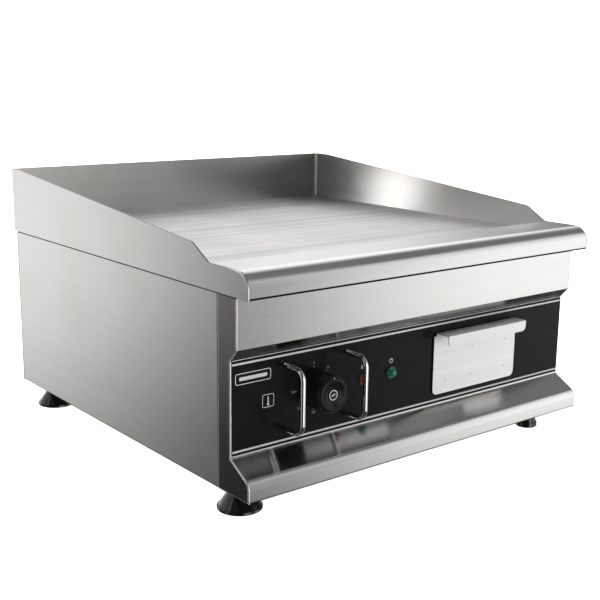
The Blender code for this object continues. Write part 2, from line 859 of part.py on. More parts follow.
def make_guard_rails():
    """Chrome hoops that shield the knob, each held by a nut behind the fascia on both legs."""
    for side, x in RAIL_XS.items():
        corners = [
            (x, RAIL_REAR, RAIL_HIGH),
            (x, RAIL_FRONT, RAIL_HIGH),
            (x, RAIL_FRONT, RAIL_LOW),
            (x, RAIL_REAR, RAIL_LOW),
        ]
        rod(f"guard_rail_{side}", fillet(corners, RAIL_BEND, 6), RAIL_RADIUS, CHROME, 4)
        behind = FASCIA_Y + SHEET + GAP
        for level, z in (("upper", RAIL_HIGH), ("lower", RAIL_LOW)):
            hex_nut(f"rail_nut_{side}_{level}", (x, z), behind, 0.005, 0.0075, RAIL_RADIUS)


def hex_nut(name, place, front, thickness, corner_radius, bore_radius):
    x, z = place
    middle = (x, front + thickness / 2, z)
    nut = prism(name, middle, "y", corner_radius, thickness, 6, ZINC)
    hole = prism(f"{name}_bore", middle, "y", bore_radius + GAP, thickness * 2, 16, None, CUTTERS)
    cut(nut, hole)


def make_knob():
    """The thermostat knob with its centre cap, on the spindle that it turns."""
    turned_on = new_carrier("knob_axis", (KNOB_X, OVERLAY_FRONT, KNOB_Z), FRAME)
    height = OVERLAY_FRONT - KNOB_FRONT
    bore = SPINDLE_RADIUS + GAP
    pocket_radius = CAP_RADIUS + GAP
    pocket_floor = height - KNOB_POCKET
    cap_top = height - 0.0024
    skirt_gap = 0.0015
    spindle_front = pocket_floor - GAP
    spindle_rear = -0.0135
    knob = turned(
        "knob",
        (KNOB_X, OVERLAY_FRONT, KNOB_Z),
        [
            (pocket_radius, height - 0.0032),
            (0.0105, height - 0.0030),
            (0.0140, height - 0.0012),
            (KNOB_CREST_RADIUS, height),
            (0.0205, height - 0.0010),
            (0.0222, height - 0.0034),
            (KNOB_GRIP_RADIUS, height - 0.0068),
            (KNOB_RADIUS, 0.0060),
            (KNOB_RADIUS, skirt_gap),
            (0.0110, skirt_gap),
            (bore, skirt_gap),
            (bore, pocket_floor),
            (pocket_radius, pocket_floor),
        ],
        BLACK_PLASTIC,
        TOWARDS_FRONT,
        32,
    )
    cap = turned(
        "knob_cap",
        (KNOB_X, OVERLAY_FRONT, KNOB_Z),
        [
            (0.0, cap_top),
            (CAP_RADIUS - 0.0006, cap_top),
            (CAP_RADIUS, cap_top - 0.0006),
            (CAP_RADIUS, cap_top - 0.0060),
            (0.0, cap_top - 0.0060),
        ],
        BLACK_PLASTIC,
        TOWARDS_FRONT,
        24,
    )
    spindle = turned(
        "thermostat_spindle",
        (KNOB_X, OVERLAY_FRONT, KNOB_Z),
        [
            (0.0, spindle_front),
            (SPINDLE_RADIUS, spindle_front),
            (SPINDLE_RADIUS, spindle_rear),
            (0.0, spindle_rear),
        ],
        BRASS,
        TOWARDS_FRONT,
        16,
    )
    for piece in (knob, cap, spindle):
        ride_on(piece, turned_on)


# ---------------------------------------------------------------- grease drawer

def make_drawer():
    """The pan and its front plate, whose top edge is folded forward and down as the handle."""
    carrier = new_carrier("drawer_axis", (DRAWER_X, DRAWER_FACE_Y, DRAWER_FRONT_LOW), FRAME)
    for piece in (make_drawer_pan(), make_drawer_front()):
        ride_on(piece, carrier)


def make_drawer_pan():
    front = DRAWER_FACE_Y + SHEET + GAP
    mesh = bmesh.new()
    bmesh.ops.create_cube(mesh, size=1.0)
    top = max(mesh.faces, key=lambda face: face.calc_center_median().z)
    bmesh.ops.delete(mesh, geom=[top], context="FACES_ONLY")
    bmesh.ops.scale(mesh, vec=(2 * PAN_HALF, PAN_REAR - front, PAN_HIGH - PAN_LOW), verts=mesh.verts)
    middle = (DRAWER_X, (PAN_REAR + front) / 2, (PAN_HIGH + PAN_LOW) / 2)
    bmesh.ops.translate(mesh, vec=middle, verts=mesh.verts)
    pan = mesh_object("drawer_pan", mesh, STAINLESS)
    walls = pan.modifiers.new("sheet", "SOLIDIFY")
    walls.thickness = 0.0010
    walls.offset = -1
    walls.use_even_offset = True
    return pan


def make_drawer_front():
    left = DRAWER_X - DRAWER_FRONT_HALF
    right = DRAWER_X + DRAWER_FRONT_HALF
    back = DRAWER_FACE_Y + SHEET
    lip_y = DRAWER_FACE_Y - HANDLE_REACH
    profile = fillet(
        [
            (back, DRAWER_FRONT_LOW),
            (back, DRAWER_FRONT_HIGH),
            (lip_y, DRAWER_FRONT_HIGH),
            (lip_y, DRAWER_FRONT_HIGH - HANDLE_DROP),
        ],
        0.0015,
        3,
    )
    plate = folded_sheet("drawer_front", profile, "x", left, right, SHEET, 1, STAINLESS)
    handle_left = left + HANDLE_INSET
    handle_right = right - HANDLE_INSET
    notch_low = DRAWER_FRONT_HIGH - HANDLE_INSET
    above = DRAWER_FRONT_HIGH + 0.010
    face = fillet(
        [
            (left, DRAWER_FRONT_LOW),
            (right, DRAWER_FRONT_LOW),
            (right, notch_low),
            (handle_right, notch_low),
            (handle_right, above),
            (handle_left, above),
            (handle_left, notch_low),
            (left, notch_low),
        ],
        [0.008, 0.008, *[0.0] * 6],
        4,
        closed=True,
    )
    in_front = DRAWER_FACE_Y - 0.0020
    behind = DRAWER_FACE_Y + 0.005
    face_keeper = flat_plate("drawer_face_shape", [face], "xz", in_front, behind, None, CUTTERS)
    lip = rectangle(handle_left, DRAWER_FRONT_HIGH - HANDLE_DROP, handle_right, above, 0.007)
    lip_front = lip_y - 0.005
    lip_rear = in_front + 0.0005
    lip_keeper = flat_plate("drawer_lip_shape", [lip], "xz", lip_front, lip_rear, None, CUTTERS)
    keeper = as_mesh(face_keeper, CUTTERS)
    cut(keeper, as_mesh(lip_keeper, CUTTERS), "UNION")
    cut(plate, keeper, "INTERSECT")
    return smooth_over(plate)


def make_drawer_guides():
    """Folded rails that stand on the base plate and carry the pan."""
    shelf = PAN_LOW - GAP - SHEET
    for side, sign in SIDES.items():
        wall = DRAWER_X + sign * (PAN_HALF + 0.003)
        outer = DRAWER_X + sign * (PAN_HALF + 0.022)
        inner = DRAWER_X + sign * (PAN_HALF - 0.010)
        profile = fillet(
            [
                (outer, BASE_TOP + GAP),
                (wall, BASE_TOP + GAP),
                (wall, shelf),
                (inner, shelf),
            ],
            BEND,
            3,
        )
        folded_sheet(f"drawer_guide_{side}", profile, "y", 0.020, 0.380, SHEET, sign, ZINC)


# ---------------------------------------------------------------- rear and feet

def make_cable_gland():
    """The cable inlet: a threaded body through the rear panel, a locknut inside and a dome nut."""
    bore = 0.0055
    hex_front = BODY_REAR + GAP
    turned(
        "gland_body",
        (GLAND_X, hex_front, GLAND_Z),
        [
            (0.0085, 0.0100),
            (0.0085, 0.0055),
            (0.0135, 0.0050),
            (0.0135, 0.0),
            (GLAND_THREAD_RADIUS, 0.0),
            (GLAND_THREAD_RADIUS, -0.0130),
            (bore, -0.0130),
            (bore, 0.0100),
        ],
        BLACK_PLASTIC,
        TOWARDS_REAR,
    )
    dome = fillet([(0.0060, 0.01995), (0.0118, 0.01995), (0.0118, 0.0060)], 0.005, 4)
    turned(
        "gland_cap",
        (GLAND_X, hex_front, GLAND_Z),
        [tuple(point) for point in dome] + [(0.0088, 0.0060), (0.0088, 0.0103), (0.0060, 0.0103)],
        BLACK_PLASTIC,
        TOWARDS_REAR,
    )
    hex_nut(
        "gland_locknut",
        (GLAND_X, GLAND_Z),
        BODY_REAR - SHEET - GAP - 0.005,
        0.005,
        0.0145,
        GLAND_THREAD_RADIUS,
    )


def make_earth_terminal():
    """The bonding stud on the rear panel and its nut."""
    rear = BODY_REAR + 0.0140
    front = BODY_REAR - 0.0140
    prism(
        "earth_stud", (EARTH_X, (rear + front) / 2, EARTH_Z), "y", 0.0030, rear - front, 12, BRASS
    )
    hex_nut("earth_nut", (EARTH_X, EARTH_Z), BODY_REAR + GAP, 0.005, 0.0058, 0.0030)


def make_wiring():
    """The terminal block inside the cable inlet and the loom that runs forward from it."""
    block_low = (GLAND_X - 0.030, 0.500, BASE_TOP + GAP)
    block_high = (GLAND_X + 0.030, 0.524, 0.030)
    strip = block("terminal_block", block_low, block_high, CREAM_PLASTIC)
    for number in range(4):
        x = GLAND_X - 0.0225 + 0.015 * number
        name = f"terminal_screw_hole_{number + 1}"
        cut(strip, prism(name, (x, 0.512, 0.030), "z", 0.004, 0.016, 12, None, CUTTERS))
    loom = fillet(
        [
            (GLAND_X, 0.499, 0.020),
            (GLAND_X, 0.300, 0.020),
            (KNOB_X, 0.120, 0.020),
            (KNOB_X, 0.046, 0.060),
            (KNOB_X, 0.030, KNOB_Z - 0.0220),
        ],
        0.015,
        4,
    )
    rod("wiring_loom", loom, 0.004, BLACK_PLASTIC, 2)


def foot_profile(flange_radius, rim):
    """From the stem's top down to the floor, as (radius, height) above the body's underside."""
    shoulder = -0.0005
    flange_top = -FOOT_HEIGHT + rim
    flare_top = -0.005
    steps = 7
    profile = [(0.0, STEM_TOP), (STEM_RADIUS, STEM_TOP), (STEM_RADIUS, shoulder)]
    profile += [(FOOT_NECK_RADIUS, shoulder), (FOOT_NECK_RADIUS, flare_top)]
    for step in range(1, steps + 1):
        part = step / steps
        radius = FOOT_NECK_RADIUS + (flange_radius - 0.0015 - FOOT_NECK_RADIUS) * part ** FOOT_FLARE
        profile.append((radius, flare_top + (flange_top - flare_top) * part))
    profile += [(flange_radius, flange_top - 0.0010), (flange_radius, -FOOT_HEIGHT)]
    profile.append((0.0, -FOOT_HEIGHT))
    return profile


def make_feet():
    """Flanged levelling feet, each on a stem that screws into a bush on the base plate."""
    for place, (x, y) in FOOT_PLACES.items():
        side = place.split("_")[1]
        carrier = new_carrier(f"foot_axis_{place}", (x, y, 0.0), FRAME)
        profile = foot_profile(FOOT_FLANGE_RADII[side], FOOT_RIMS[side])
        foot = turned(f"foot_{place}", (x, y, 0.0), profile, FOOT_BLACK, steps=28)
        ride_on(foot, carrier)
        low = BASE_TOP + GAP
        turned(
            f"foot_bush_{place}",
            (x, y, low),
            [
                (0.0095, 0.012),
                (0.0095, 0.0),
                (STEM_RADIUS + 0.0005, 0.0),
                (STEM_RADIUS + 0.0005, 0.012),
            ],
            ZINC,
            steps=16,
        )


def make_reset_button():
    carrier = new_carrier("reset_axis", (RESET_X, BODY_REAR, RESET_Z), FRAME)
    tip = 0.0045
    dome = fillet([(0.0, tip), (RESET_RADIUS, tip), (RESET_RADIUS, -0.009)], 0.001, 3)
    button = turned(
        "reset_button",
        (RESET_X, BODY_REAR, RESET_Z),
        [tuple(point) for point in dome] + [(0.0, -0.009)],
        RED_PLASTIC,
        TOWARDS_REAR,
        16,
    )
    ride_on(button, carrier)


make_front_panel()
make_cheeks()
make_side_panels()
make_rear_panel()
make_base_plate()
make_fascia_overlay()
make_splash_guard()
make_front_deck()
make_griddle_plate()
make_drain_spout()
make_plate_supports()
make_heating()
make_heat_shield()
make_thermostats()
make_lamps()
make_guard_rails()
make_knob()
make_drawer()
make_drawer_guides()
make_cable_gland()
make_earth_terminal()
make_wiring()
make_feet()
make_reset_button()
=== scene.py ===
"""The finished look of the flat-top griddle: materials, fine geometry, print, studio and camera."""
import json
import math

import bmesh
import bpy
from mathutils import Matrix, Vector


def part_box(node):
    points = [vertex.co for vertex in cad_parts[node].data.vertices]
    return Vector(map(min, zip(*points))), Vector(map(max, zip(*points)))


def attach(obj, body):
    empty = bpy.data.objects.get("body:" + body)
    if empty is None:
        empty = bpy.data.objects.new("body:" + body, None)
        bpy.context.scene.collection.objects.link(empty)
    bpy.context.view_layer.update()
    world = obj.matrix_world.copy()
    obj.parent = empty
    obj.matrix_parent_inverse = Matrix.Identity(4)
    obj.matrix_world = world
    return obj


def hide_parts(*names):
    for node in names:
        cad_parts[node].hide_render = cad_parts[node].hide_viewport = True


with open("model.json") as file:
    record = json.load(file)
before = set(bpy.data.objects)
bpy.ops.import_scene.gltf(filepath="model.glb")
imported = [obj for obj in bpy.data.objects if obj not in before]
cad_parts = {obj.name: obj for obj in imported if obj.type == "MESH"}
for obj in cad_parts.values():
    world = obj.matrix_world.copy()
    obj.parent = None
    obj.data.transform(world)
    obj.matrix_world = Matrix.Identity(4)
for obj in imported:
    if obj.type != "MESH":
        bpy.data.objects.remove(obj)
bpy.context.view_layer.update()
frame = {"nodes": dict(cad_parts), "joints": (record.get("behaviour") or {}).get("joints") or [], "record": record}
NODES = frame["nodes"]
SLOTS = {row["node"]: row["material_slot"] for row in frame["record"]["subparts"]}
JOINTS = {joint["name"]: joint for joint in frame["joints"]}

BODY = "body"
KNOB_BODY = "knob_body"
DRAWER = "drawer"
TOUCH = 0.0001  # a corner this near to a face counts as on it

# Edges of the frame that the added pieces are placed from
OVERLAY_LOW, OVERLAY_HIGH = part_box("fascia_overlay")
FASCIA = OVERLAY_LOW.y
KNOB_AXIS = Vector(JOINTS["knob_turn"]["pos_m"])


# ---------------------------------------------------------------- node graphs

class Graph:
    """A short way to write a material's or the world's nodes."""

    def __init__(self, tree):
        self.tree = tree
        self.nodes = tree.nodes

    def node(self, kind, **settings):
        made = self.nodes.new(kind)
        for key, value in settings.items():
            setattr(made, key, value)
        return made

    def link(self, source, target):
        self.tree.links.new(source, target)

    def feed(self, target, value):
        if isinstance(value, bpy.types.NodeSocket):
            self.link(value, target)
        else:
            target.default_value = value

    def math(self, operation, first, second=0.0):
        made = self.node("ShaderNodeMath", operation=operation)
        self.feed(made.inputs[0], first)
        self.feed(made.inputs[1], second)
        return made.outputs[0]

    def vector_math(self, operation, first, second=(0.0, 0.0, 0.0), output=0):
        made = self.node("ShaderNodeVectorMath", operation=operation)
        self.feed(made.inputs[0], first)
        self.feed(made.inputs[1], second)
        return made.outputs[output]

    def noise(self, vector, scale, detail=2.0, roughness=0.5):
        made = self.node("ShaderNodeTexNoise")
        self.link(vector, made.inputs["Vector"])
        made.inputs["Scale"].default_value = scale
        made.inputs["Detail"].default_value = detail
        made.inputs["Roughness"].default_value = roughness
        return made.outputs["Fac"]

    def span(self, value, low, high, to_low=0.0, to_high=1.0, smooth=False):
        made = self.node("ShaderNodeMapRange", clamp=True)
        made.interpolation_type = "SMOOTHSTEP" if smooth else "LINEAR"
        self.feed(made.inputs["Value"], value)
        made.inputs["From Min"].default_value = low
        made.inputs["From Max"].default_value = high
        made.inputs["To Min"].default_value = to_low
        made.inputs["To Max"].default_value = to_high
        return made.outputs["Result"]

    def ramp(self, value, stops):
        """A linear ramp through (place, grey level) stops."""
        made = self.node("ShaderNodeValToRGB")
        elements = made.color_ramp.elements
        while len(elements) < len(stops):
            elements.new(0.5)
        for element, (place, level) in zip(elements, stops):
            element.position = place
            element.color = (level, level, level, 1.0)
        self.link(value, made.inputs["Fac"])
        return made.outputs["Color"]

    def mix(self, factor, first, second):
        made = self.node("ShaderNodeMix", data_type="RGBA", blend_type="MIX")
        first_colour, second_colour = 6, 7  # the colour sockets share their names with the number ones
        self.feed(made.inputs["Factor"], factor)
        self.feed(made.inputs[first_colour], first)
        self.feed(made.inputs[second_colour], second)
        return made.outputs[2]


def new_material(name):
    material = bpy.data.materials.new(name)
    material.use_nodes = True
    graph = Graph(material.node_tree)
    shader = graph.nodes["Principled BSDF"]
    return material, graph, shader


def rgb(red, green, blue):
    return (red, green, blue, 1.0)


def edge_factor(graph, radius):
    """Where the surface turns an edge: 0 on a flat, towards 1 on the edge itself."""
    rounded = graph.node("ShaderNodeBevel", samples=4)
    rounded.inputs["Radius"].default_value = radius
    geometry = graph.node("ShaderNodeNewGeometry")
    alike = graph.vector_math("DOT_PRODUCT", rounded.outputs["Normal"], geometry.outputs["True Normal"], 1)
    return graph.span(alike, 0.98, 0.75, 0.0, 1.0)


# The grain of a sheet: where its brushing runs.
GRAIN_X = (1.0, 0.0, 0.0)
GRAIN_Y = (0.0, 1.0, 0.0)
GRAIN_Z = (0.0, 0.0, 1.0)
GRAIN_LEVEL = None  # along each wall of a piece that turns corners, always level


def brushed_metal(
    name,
    colour,
    grain,
    roughness=0.30,
    anisotropy=0.85,
    streaks=0.06,
    tone=0.02,
    scratch=0.05,
    wear=0.12,
    painted_shade=None,
):
    """Sheet metal with long brushing lines, faint patches and brighter edges.

    A painted shade is (axis, low, high, shade at low, shade at high): the colour darkens along that axis, as
    painted shade.
    """
    material, graph, shader = new_material(name)
    place = graph.node("ShaderNodeTexCoord").outputs["Object"]
    if grain is GRAIN_LEVEL:
        normal = graph.node("ShaderNodeNewGeometry").outputs["True Normal"]
        along = graph.vector_math("NORMALIZE", graph.vector_math("CROSS_PRODUCT", GRAIN_Z, normal))
    else:
        fixed = graph.node("ShaderNodeCombineXYZ")
        for socket, value in zip(fixed.inputs, grain):
            socket.default_value = value
        along = fixed.outputs[0]
    distance = graph.vector_math("DOT_PRODUCT", place, along, 1)
    sunk = graph.node("ShaderNodeVectorMath", operation="SCALE")
    graph.link(along, sunk.inputs[0])
    graph.link(graph.math("MULTIPLY", distance, -0.9975), sunk.inputs["Scale"])
    stretched = graph.vector_math("ADD", place, sunk.outputs[0])
    fine = graph.noise(stretched, 1500.0, 2.0, 0.6)
    lines = graph.noise(stretched, 420.0, 3.0, 0.65)
    bands = graph.noise(stretched, 60.0, 2.0)
    patches = graph.noise(place, 7.0, 3.0, 0.55)
    edges = edge_factor(graph, 0.0012)

    grainy = graph.math("ADD", graph.math("MULTIPLY", fine, 0.45), graph.math("MULTIPLY", lines, 0.55))
    low = 1.0 - streaks
    shade = graph.span(grainy, 0.30, 0.70, low, 1.0 + streaks * 0.6)
    shade = graph.math("MULTIPLY", shade, graph.span(bands, 0.30, 0.70, 1.0 - tone, 1.0 + tone * 0.5))
    shade = graph.math("MULTIPLY", shade, graph.span(patches, 0.30, 0.70, 1.0 - tone, 1.0 + tone * 0.5))
    shade = graph.math("MULTIPLY", shade, graph.math("ADD", 1.0, graph.math("MULTIPLY", edges, wear)))
    # painted shade: the colour is darkened along one axis
    if painted_shade:
        axis, start, end, at_start, at_end = painted_shade
        parts = graph.node("ShaderNodeSeparateXYZ")
        graph.link(place, parts.inputs[0])
        shade = graph.math("MULTIPLY", shade, graph.span(parts.outputs[axis], start, end, at_start, at_end))
    warm = (colour[0] * 1.012, colour[1] * 0.995, colour[2] * 0.972)
    tint = graph.mix(graph.span(patches, 0.42, 0.62), rgb(*colour), rgb(*warm))
    tinted = graph.node("ShaderNodeVectorMath", operation="SCALE")
    graph.link(tint, tinted.inputs[0])
    graph.link(shade, tinted.inputs["Scale"])
    graph.link(tinted.outputs[0], shader.inputs["Base Color"])

    spread = 0.005 + streaks * 0.5
    rough = graph.span(grainy, 0.25, 0.75, roughness - spread, roughness + spread)
    rough = graph.math("ADD", rough, graph.span(patches, 0.35, 0.75, -0.01, 0.03))
    rough = graph.math("SUBTRACT", rough, graph.math("MULTIPLY", edges, 0.10))
    graph.link(graph.math("MAXIMUM", rough, 0.08), shader.inputs["Roughness"])

    bump = graph.node("ShaderNodeBump")
    bump.inputs["Strength"].default_value = scratch
    bump.inputs["Distance"].default_value = 0.00008
    graph.link(grainy, bump.inputs["Height"])
    graph.link(bump.outputs["Normal"], shader.inputs["Normal"])
    facing = graph.node("ShaderNodeNewGeometry").outputs["Normal"]
    across = graph.vector_math("CROSS_PRODUCT", facing, along)
    graph.link(graph.vector_math("NORMALIZE", across), shader.inputs["Tangent"])
    shader.inputs["Metallic"].default_value = 1.0
    shader.inputs["Anisotropic"].default_value = anisotropy
    return material


def moulded(name, colour, roughness, grain=0.15, wear=0.6, coat=0.0, shine=0.5):
    """Moulded plastic or painted film: a faint orange peel, handling marks and paler edges."""
    material, graph, shader = new_material(name)
    place = graph.node("ShaderNodeTexCoord").outputs["Object"]
    peel = graph.noise(place, 2600.0, 3.0, 0.6)
    smears = graph.noise(place, 38.0, 4.0, 0.6)
    edges = edge_factor(graph, 0.0008)
    worn = graph.math("MULTIPLY", edges, wear)
    pale = tuple(min(1.0, channel * 1.5 + 0.015) for channel in colour)
    mottled = tuple(channel * 1.25 + 0.001 for channel in colour)
    base = graph.mix(graph.span(smears, 0.40, 0.70), rgb(*colour), rgb(*mottled))
    graph.link(graph.mix(worn, base, rgb(*pale)), shader.inputs["Base Color"])
    rough = graph.span(smears, 0.30, 0.75, roughness - 0.05, roughness + 0.10)
    rough = graph.math("ADD", rough, graph.span(peel, 0.3, 0.7, -0.02, 0.03))
    graph.link(rough, shader.inputs["Roughness"])
    bump = graph.node("ShaderNodeBump")
    bump.inputs["Strength"].default_value = grain
    bump.inputs["Distance"].default_value = 0.00005
    graph.link(peel, bump.inputs["Height"])
    graph.link(bump.outputs["Normal"], shader.inputs["Normal"])
    shader.inputs["Specular IOR Level"].default_value = shine
    shader.inputs["Coat Weight"].default_value = coat
    shader.inputs["Coat Roughness"].default_value = 0.08
    return material


def plated(name, colour, roughness=0.06):
    """Bright plating: nearly a mirror, with fine polishing haze and a few pin marks."""
    material, graph, shader = new_material(name)
    place = graph.node("ShaderNodeTexCoord").outputs["Object"]
    haze = graph.noise(place, 160.0, 4.0, 0.6)
    pits = graph.noise(place, 1300.0, 2.0)
    tone = graph.span(pits, 0.62, 0.80, 1.0, 0.80)
    tinted = graph.node("ShaderNodeVectorMath", operation="SCALE")
    tinted.inputs[0].default_value = colour
    graph.link(tone, tinted.inputs["Scale"])
    graph.link(tinted.outputs[0], shader.inputs["Base Color"])
    graph.link(graph.span(haze, 0.35, 0.75, roughness, roughness + 0.03), shader.inputs["Roughness"])
    bump = graph.node("ShaderNodeBump")
    bump.inputs["Strength"].default_value = 0.05
    bump.inputs["Distance"].default_value = 0.0001
    graph.link(haze, bump.inputs["Height"])
    graph.link(bump.outputs["Normal"], shader.inputs["Normal"])
    shader.inputs["Metallic"].default_value = 1.0
    return material


def lens_glass(name, colour, deep):
    """A translucent coloured lens: darker in the middle, with moulded facets inside."""
    material, graph, shader = new_material(name)
    place = graph.node("ShaderNodeTexCoord").outputs["Object"]
    facets = graph.node("ShaderNodeTexVoronoi", feature="F1")
    facets.inputs["Scale"].default_value = 1600.0
    graph.link(place, facets.inputs["Vector"])
    cells = facets.outputs["Distance"]
    depth = graph.span(cells, 0.1, 0.6)
    graph.link(graph.mix(depth, rgb(*deep), rgb(*colour)), shader.inputs["Base Color"])
    graph.link(graph.span(cells, 0.0, 0.8, 0.10, 0.22), shader.inputs["Roughness"])
    bump = graph.node("ShaderNodeBump")
    bump.inputs["Strength"].default_value = 0.10
    bump.inputs["Distance"].default_value = 0.0002
    graph.link(cells, bump.inputs["Height"])
    graph.link(bump.outputs["Normal"], shader.inputs["Normal"])
    shader.inputs["Coat Weight"].default_value = 0.6
    shader.inputs["Coat Roughness"].default_value = 0.05
    shader.inputs["Emission Color"].default_value = rgb(*colour)
    shader.inputs["Emission Strength"].default_value = 0.03
    return material


def ink(name, colour):
    """Screen-printed ink with slightly uneven cover."""
    material, graph, shader = new_material(name)
    place = graph.node("ShaderNodeTexCoord").outputs["Object"]
    cover = graph.noise(place, 900.0, 3.0, 0.6)
    thin = tuple(channel * 0.82 for channel in colour)
    thinness = graph.span(cover, 0.45, 0.75)
    graph.link(graph.mix(thinness, rgb(*colour), rgb(*thin)), shader.inputs["Base Color"])
    graph.link(graph.span(cover, 0.3, 0.7, 0.35, 0.50), shader.inputs["Roughness"])
    bump = graph.node("ShaderNodeBump")
    bump.inputs["Strength"].default_value = 0.1
    bump.inputs["Distance"].default_value = 0.00003
    graph.link(cover, bump.inputs["Height"])
    graph.link(bump.outputs["Normal"], shader.inputs["Normal"])
    return material


def fibrous(name, colour):
    """Mineral wool: matted fibres in two tones."""
    material, graph, shader = new_material(name)
    place = graph.node("ShaderNodeTexCoord").outputs["Object"]
    fibres = graph.node("ShaderNodeTexWave", wave_type="BANDS")
    fibres.inputs["Scale"].default_value = 90.0
    fibres.inputs["Distortion"].default_value = 14.0
    fibres.inputs["Detail"].default_value = 4.0
    graph.link(place, fibres.inputs["Vector"])
    pale = tuple(min(1.0, channel * 1.3) for channel in colour)
    graph.link(graph.mix(fibres.outputs["Fac"], rgb(*colour), rgb(*pale)), shader.inputs["Base Color"])
    graph.link(graph.span(fibres.outputs["Fac"], 0.0, 1.0, 0.85, 1.0), shader.inputs["Roughness"])
    bump = graph.node("ShaderNodeBump")
    bump.inputs["Strength"].default_value = 0.8
    bump.inputs["Distance"].default_value = 0.001
    graph.link(fibres.outputs["Fac"], bump.inputs["Height"])
    graph.link(bump.outputs["Normal"], shader.inputs["Normal"])
    return material


STEEL = (0.645, 0.645, 0.643)
WARM_STEEL = (0.650, 0.644, 0.634)
SHEET_LEVEL = brushed_metal(
    "steel_walls", WARM_STEEL, GRAIN_LEVEL, 0.23, 0.4, 0.03, scratch=0.02, wear=-0.35
)
SHEET_X = brushed_metal("steel_along_front", STEEL, GRAIN_X, 0.16, 0.5, 0.05, scratch=0.03)
SHEET_Y = brushed_metal("steel_along_side", WARM_STEEL, GRAIN_Y, 0.25, 0.6, 0.02, scratch=0.005)
# The slope over the fascia: the same steel, its colour darkened towards the left as painted shade.
PAINTED_SHADE_ON_SLOPE = ("X", -0.28, -0.02, 0.20, 1.2)
STEEL_SLOPE_PAINTED_SHADE = brushed_metal("steel_slope_painted_shade", STEEL, GRAIN_X, 0.22, 0.5, 0.05, scratch=0.03, painted_shade=PAINTED_SHADE_ON_SLOPE)
CUT_EDGE = brushed_metal("cut_edge", (0.16, 0.158, 0.155), GRAIN_Y, 0.35, 0.2, 0.03, 0.02)
# Polished edges and weld beads: polished steel whose colour is raised far above the rest's, partly a painted
# highlight.
POLISHED_AND_PAINTED_HIGHLIGHT = brushed_metal("polished_edge_painted_highlight", (0.92, 0.92, 0.91), GRAIN_Z, 0.42, 0.2, 0.03, 0.02)
# The cheeks: the same steel as the rest, given a much darker colour that darkens further towards the bottom, as
# painted shade.
PAINTED_SHADE_ON_CHEEKS = ("Z", 0.08, 0.26, 0.50, 1.0)
STEEL_UPRIGHT_PAINTED_SHADE = brushed_metal("steel_upright_painted_shade", (0.235, 0.226, 0.219), GRAIN_Z, 0.22, 0.7, painted_shade=PAINTED_SHADE_ON_CHEEKS)
PLATE = brushed_metal("ground_plate", (0.76, 0.76, 0.76), GRAIN_X, 0.40, 0.6, 0.12, 0.17, 0.08)
DRAWER_STEEL = brushed_metal("drawer_satin", (0.88, 0.88, 0.88), GRAIN_X, 0.38, 0.4, 0.08, 0.05)
GALVANISED = brushed_metal("galvanised", (0.50, 0.51, 0.52), GRAIN_X, 0.42, 0.2, 0.06, 0.14)
SHEATH = brushed_metal("element_sheath", (0.40, 0.35, 0.31), GRAIN_X, 0.40, 0.2)
BRASS = brushed_metal("brass", (0.70, 0.52, 0.24), GRAIN_Y, 0.28, 0.3)
COPPER = brushed_metal("copper", (0.70, 0.38, 0.24), GRAIN_Y, 0.30, 0.3)
CHROME = plated("chrome", (0.80, 0.80, 0.80), 0.03)
FILM = moulded("fascia_film", (0.0042, 0.0042, 0.0045), 0.20, 0.06, shine=0.07)
KNOB_BLACK = moulded("knob_black", (0.004, 0.004, 0.004), 0.24, 0.12, shine=0.16)
FOOT_BLACK = moulded("foot_black", (0.003, 0.003, 0.003), 0.10, 0.03, wear=0.3, coat=0.6, shine=0.4)
BLACK = moulded("black_plastic", (0.014, 0.014, 0.014), 0.40, 0.30)
CREAM = moulded("cream_plastic", (0.72, 0.68, 0.56), 0.45, 0.20)
RED = moulded("red_plastic", (0.45, 0.02, 0.02), 0.30, 0.15)
WOOL = fibrous("mineral_wool", (0.55, 0.50, 0.38))
GREEN_GLASS = lens_glass("green_lens", (0.002, 0.070, 0.042), (0.001, 0.050, 0.030))
ORANGE_GLASS = lens_glass("orange_lens", (0.090, 0.022, 0.006), (0.060, 0.013, 0.004))
GREY_INK = ink("grey_ink", (0.36, 0.36, 0.36))
WHITE_INK = ink("white_ink", (0.42, 0.42, 0.42))
# Light lines along the fascia's long edges: painted highlights of the panel's bends there.
PAINTED_EDGE_HIGHLIGHT = ink("painted_edge_highlight", (0.50, 0.50, 0.50))
DIAL_INK = ink("dial_ink", (0.16, 0.16, 0.16))


# ---------------------------------------------------------------- geometry

def add_piece(name, data, material, body, replaces=()):
    """Links a piece, gives it its material and says what it rides on and stands for."""
    piece = bpy.data.objects.new(name, data)
    bpy.context.scene.collection.objects.link(piece)
    if material is not None:
        if len(data.materials) > 0:
            data.materials.clear()
        data.materials.append(material)
    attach(piece, body)
    if replaces:
        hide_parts(*replaces)
    return piece


def smooth(data, angle=30.0):
    data.shade_smooth()
    data.set_sharp_from_angle(angle=math.radians(angle))


def round_edges(piece, width, segments=2):
    """Rounds the sharp edges and keeps the large flats flat in their shading."""
    bevel = piece.modifiers.new("edges", "BEVEL")
    bevel.width = width
    bevel.segments = segments
    bevel.limit_method = "ANGLE"
    bevel.angle_limit = math.radians(35.0)
    flats = piece.modifiers.new("flats", "WEIGHTED_NORMAL")
    flats.keep_sharp = True
    flats.weight = 100


def clean_copy(node):
    """A node's shape as a mesh of its own, with its flat faces whole again."""
    mesh = bmesh.new()
    mesh.from_mesh(NODES[node].data)
    bmesh.ops.remove_doubles(mesh, verts=mesh.verts, dist=1e-6)
    bmesh.ops.dissolve_limit(
        mesh, angle_limit=math.radians(0.5), verts=mesh.verts, edges=mesh.edges
    )
    data = bpy.data.meshes.new(node)
    mesh.to_mesh(data)
    mesh.free()
    return data


BODY_OF = {node: body for body, nodes in frame["record"]["behaviour"]["bodies"].items() for node in nodes}


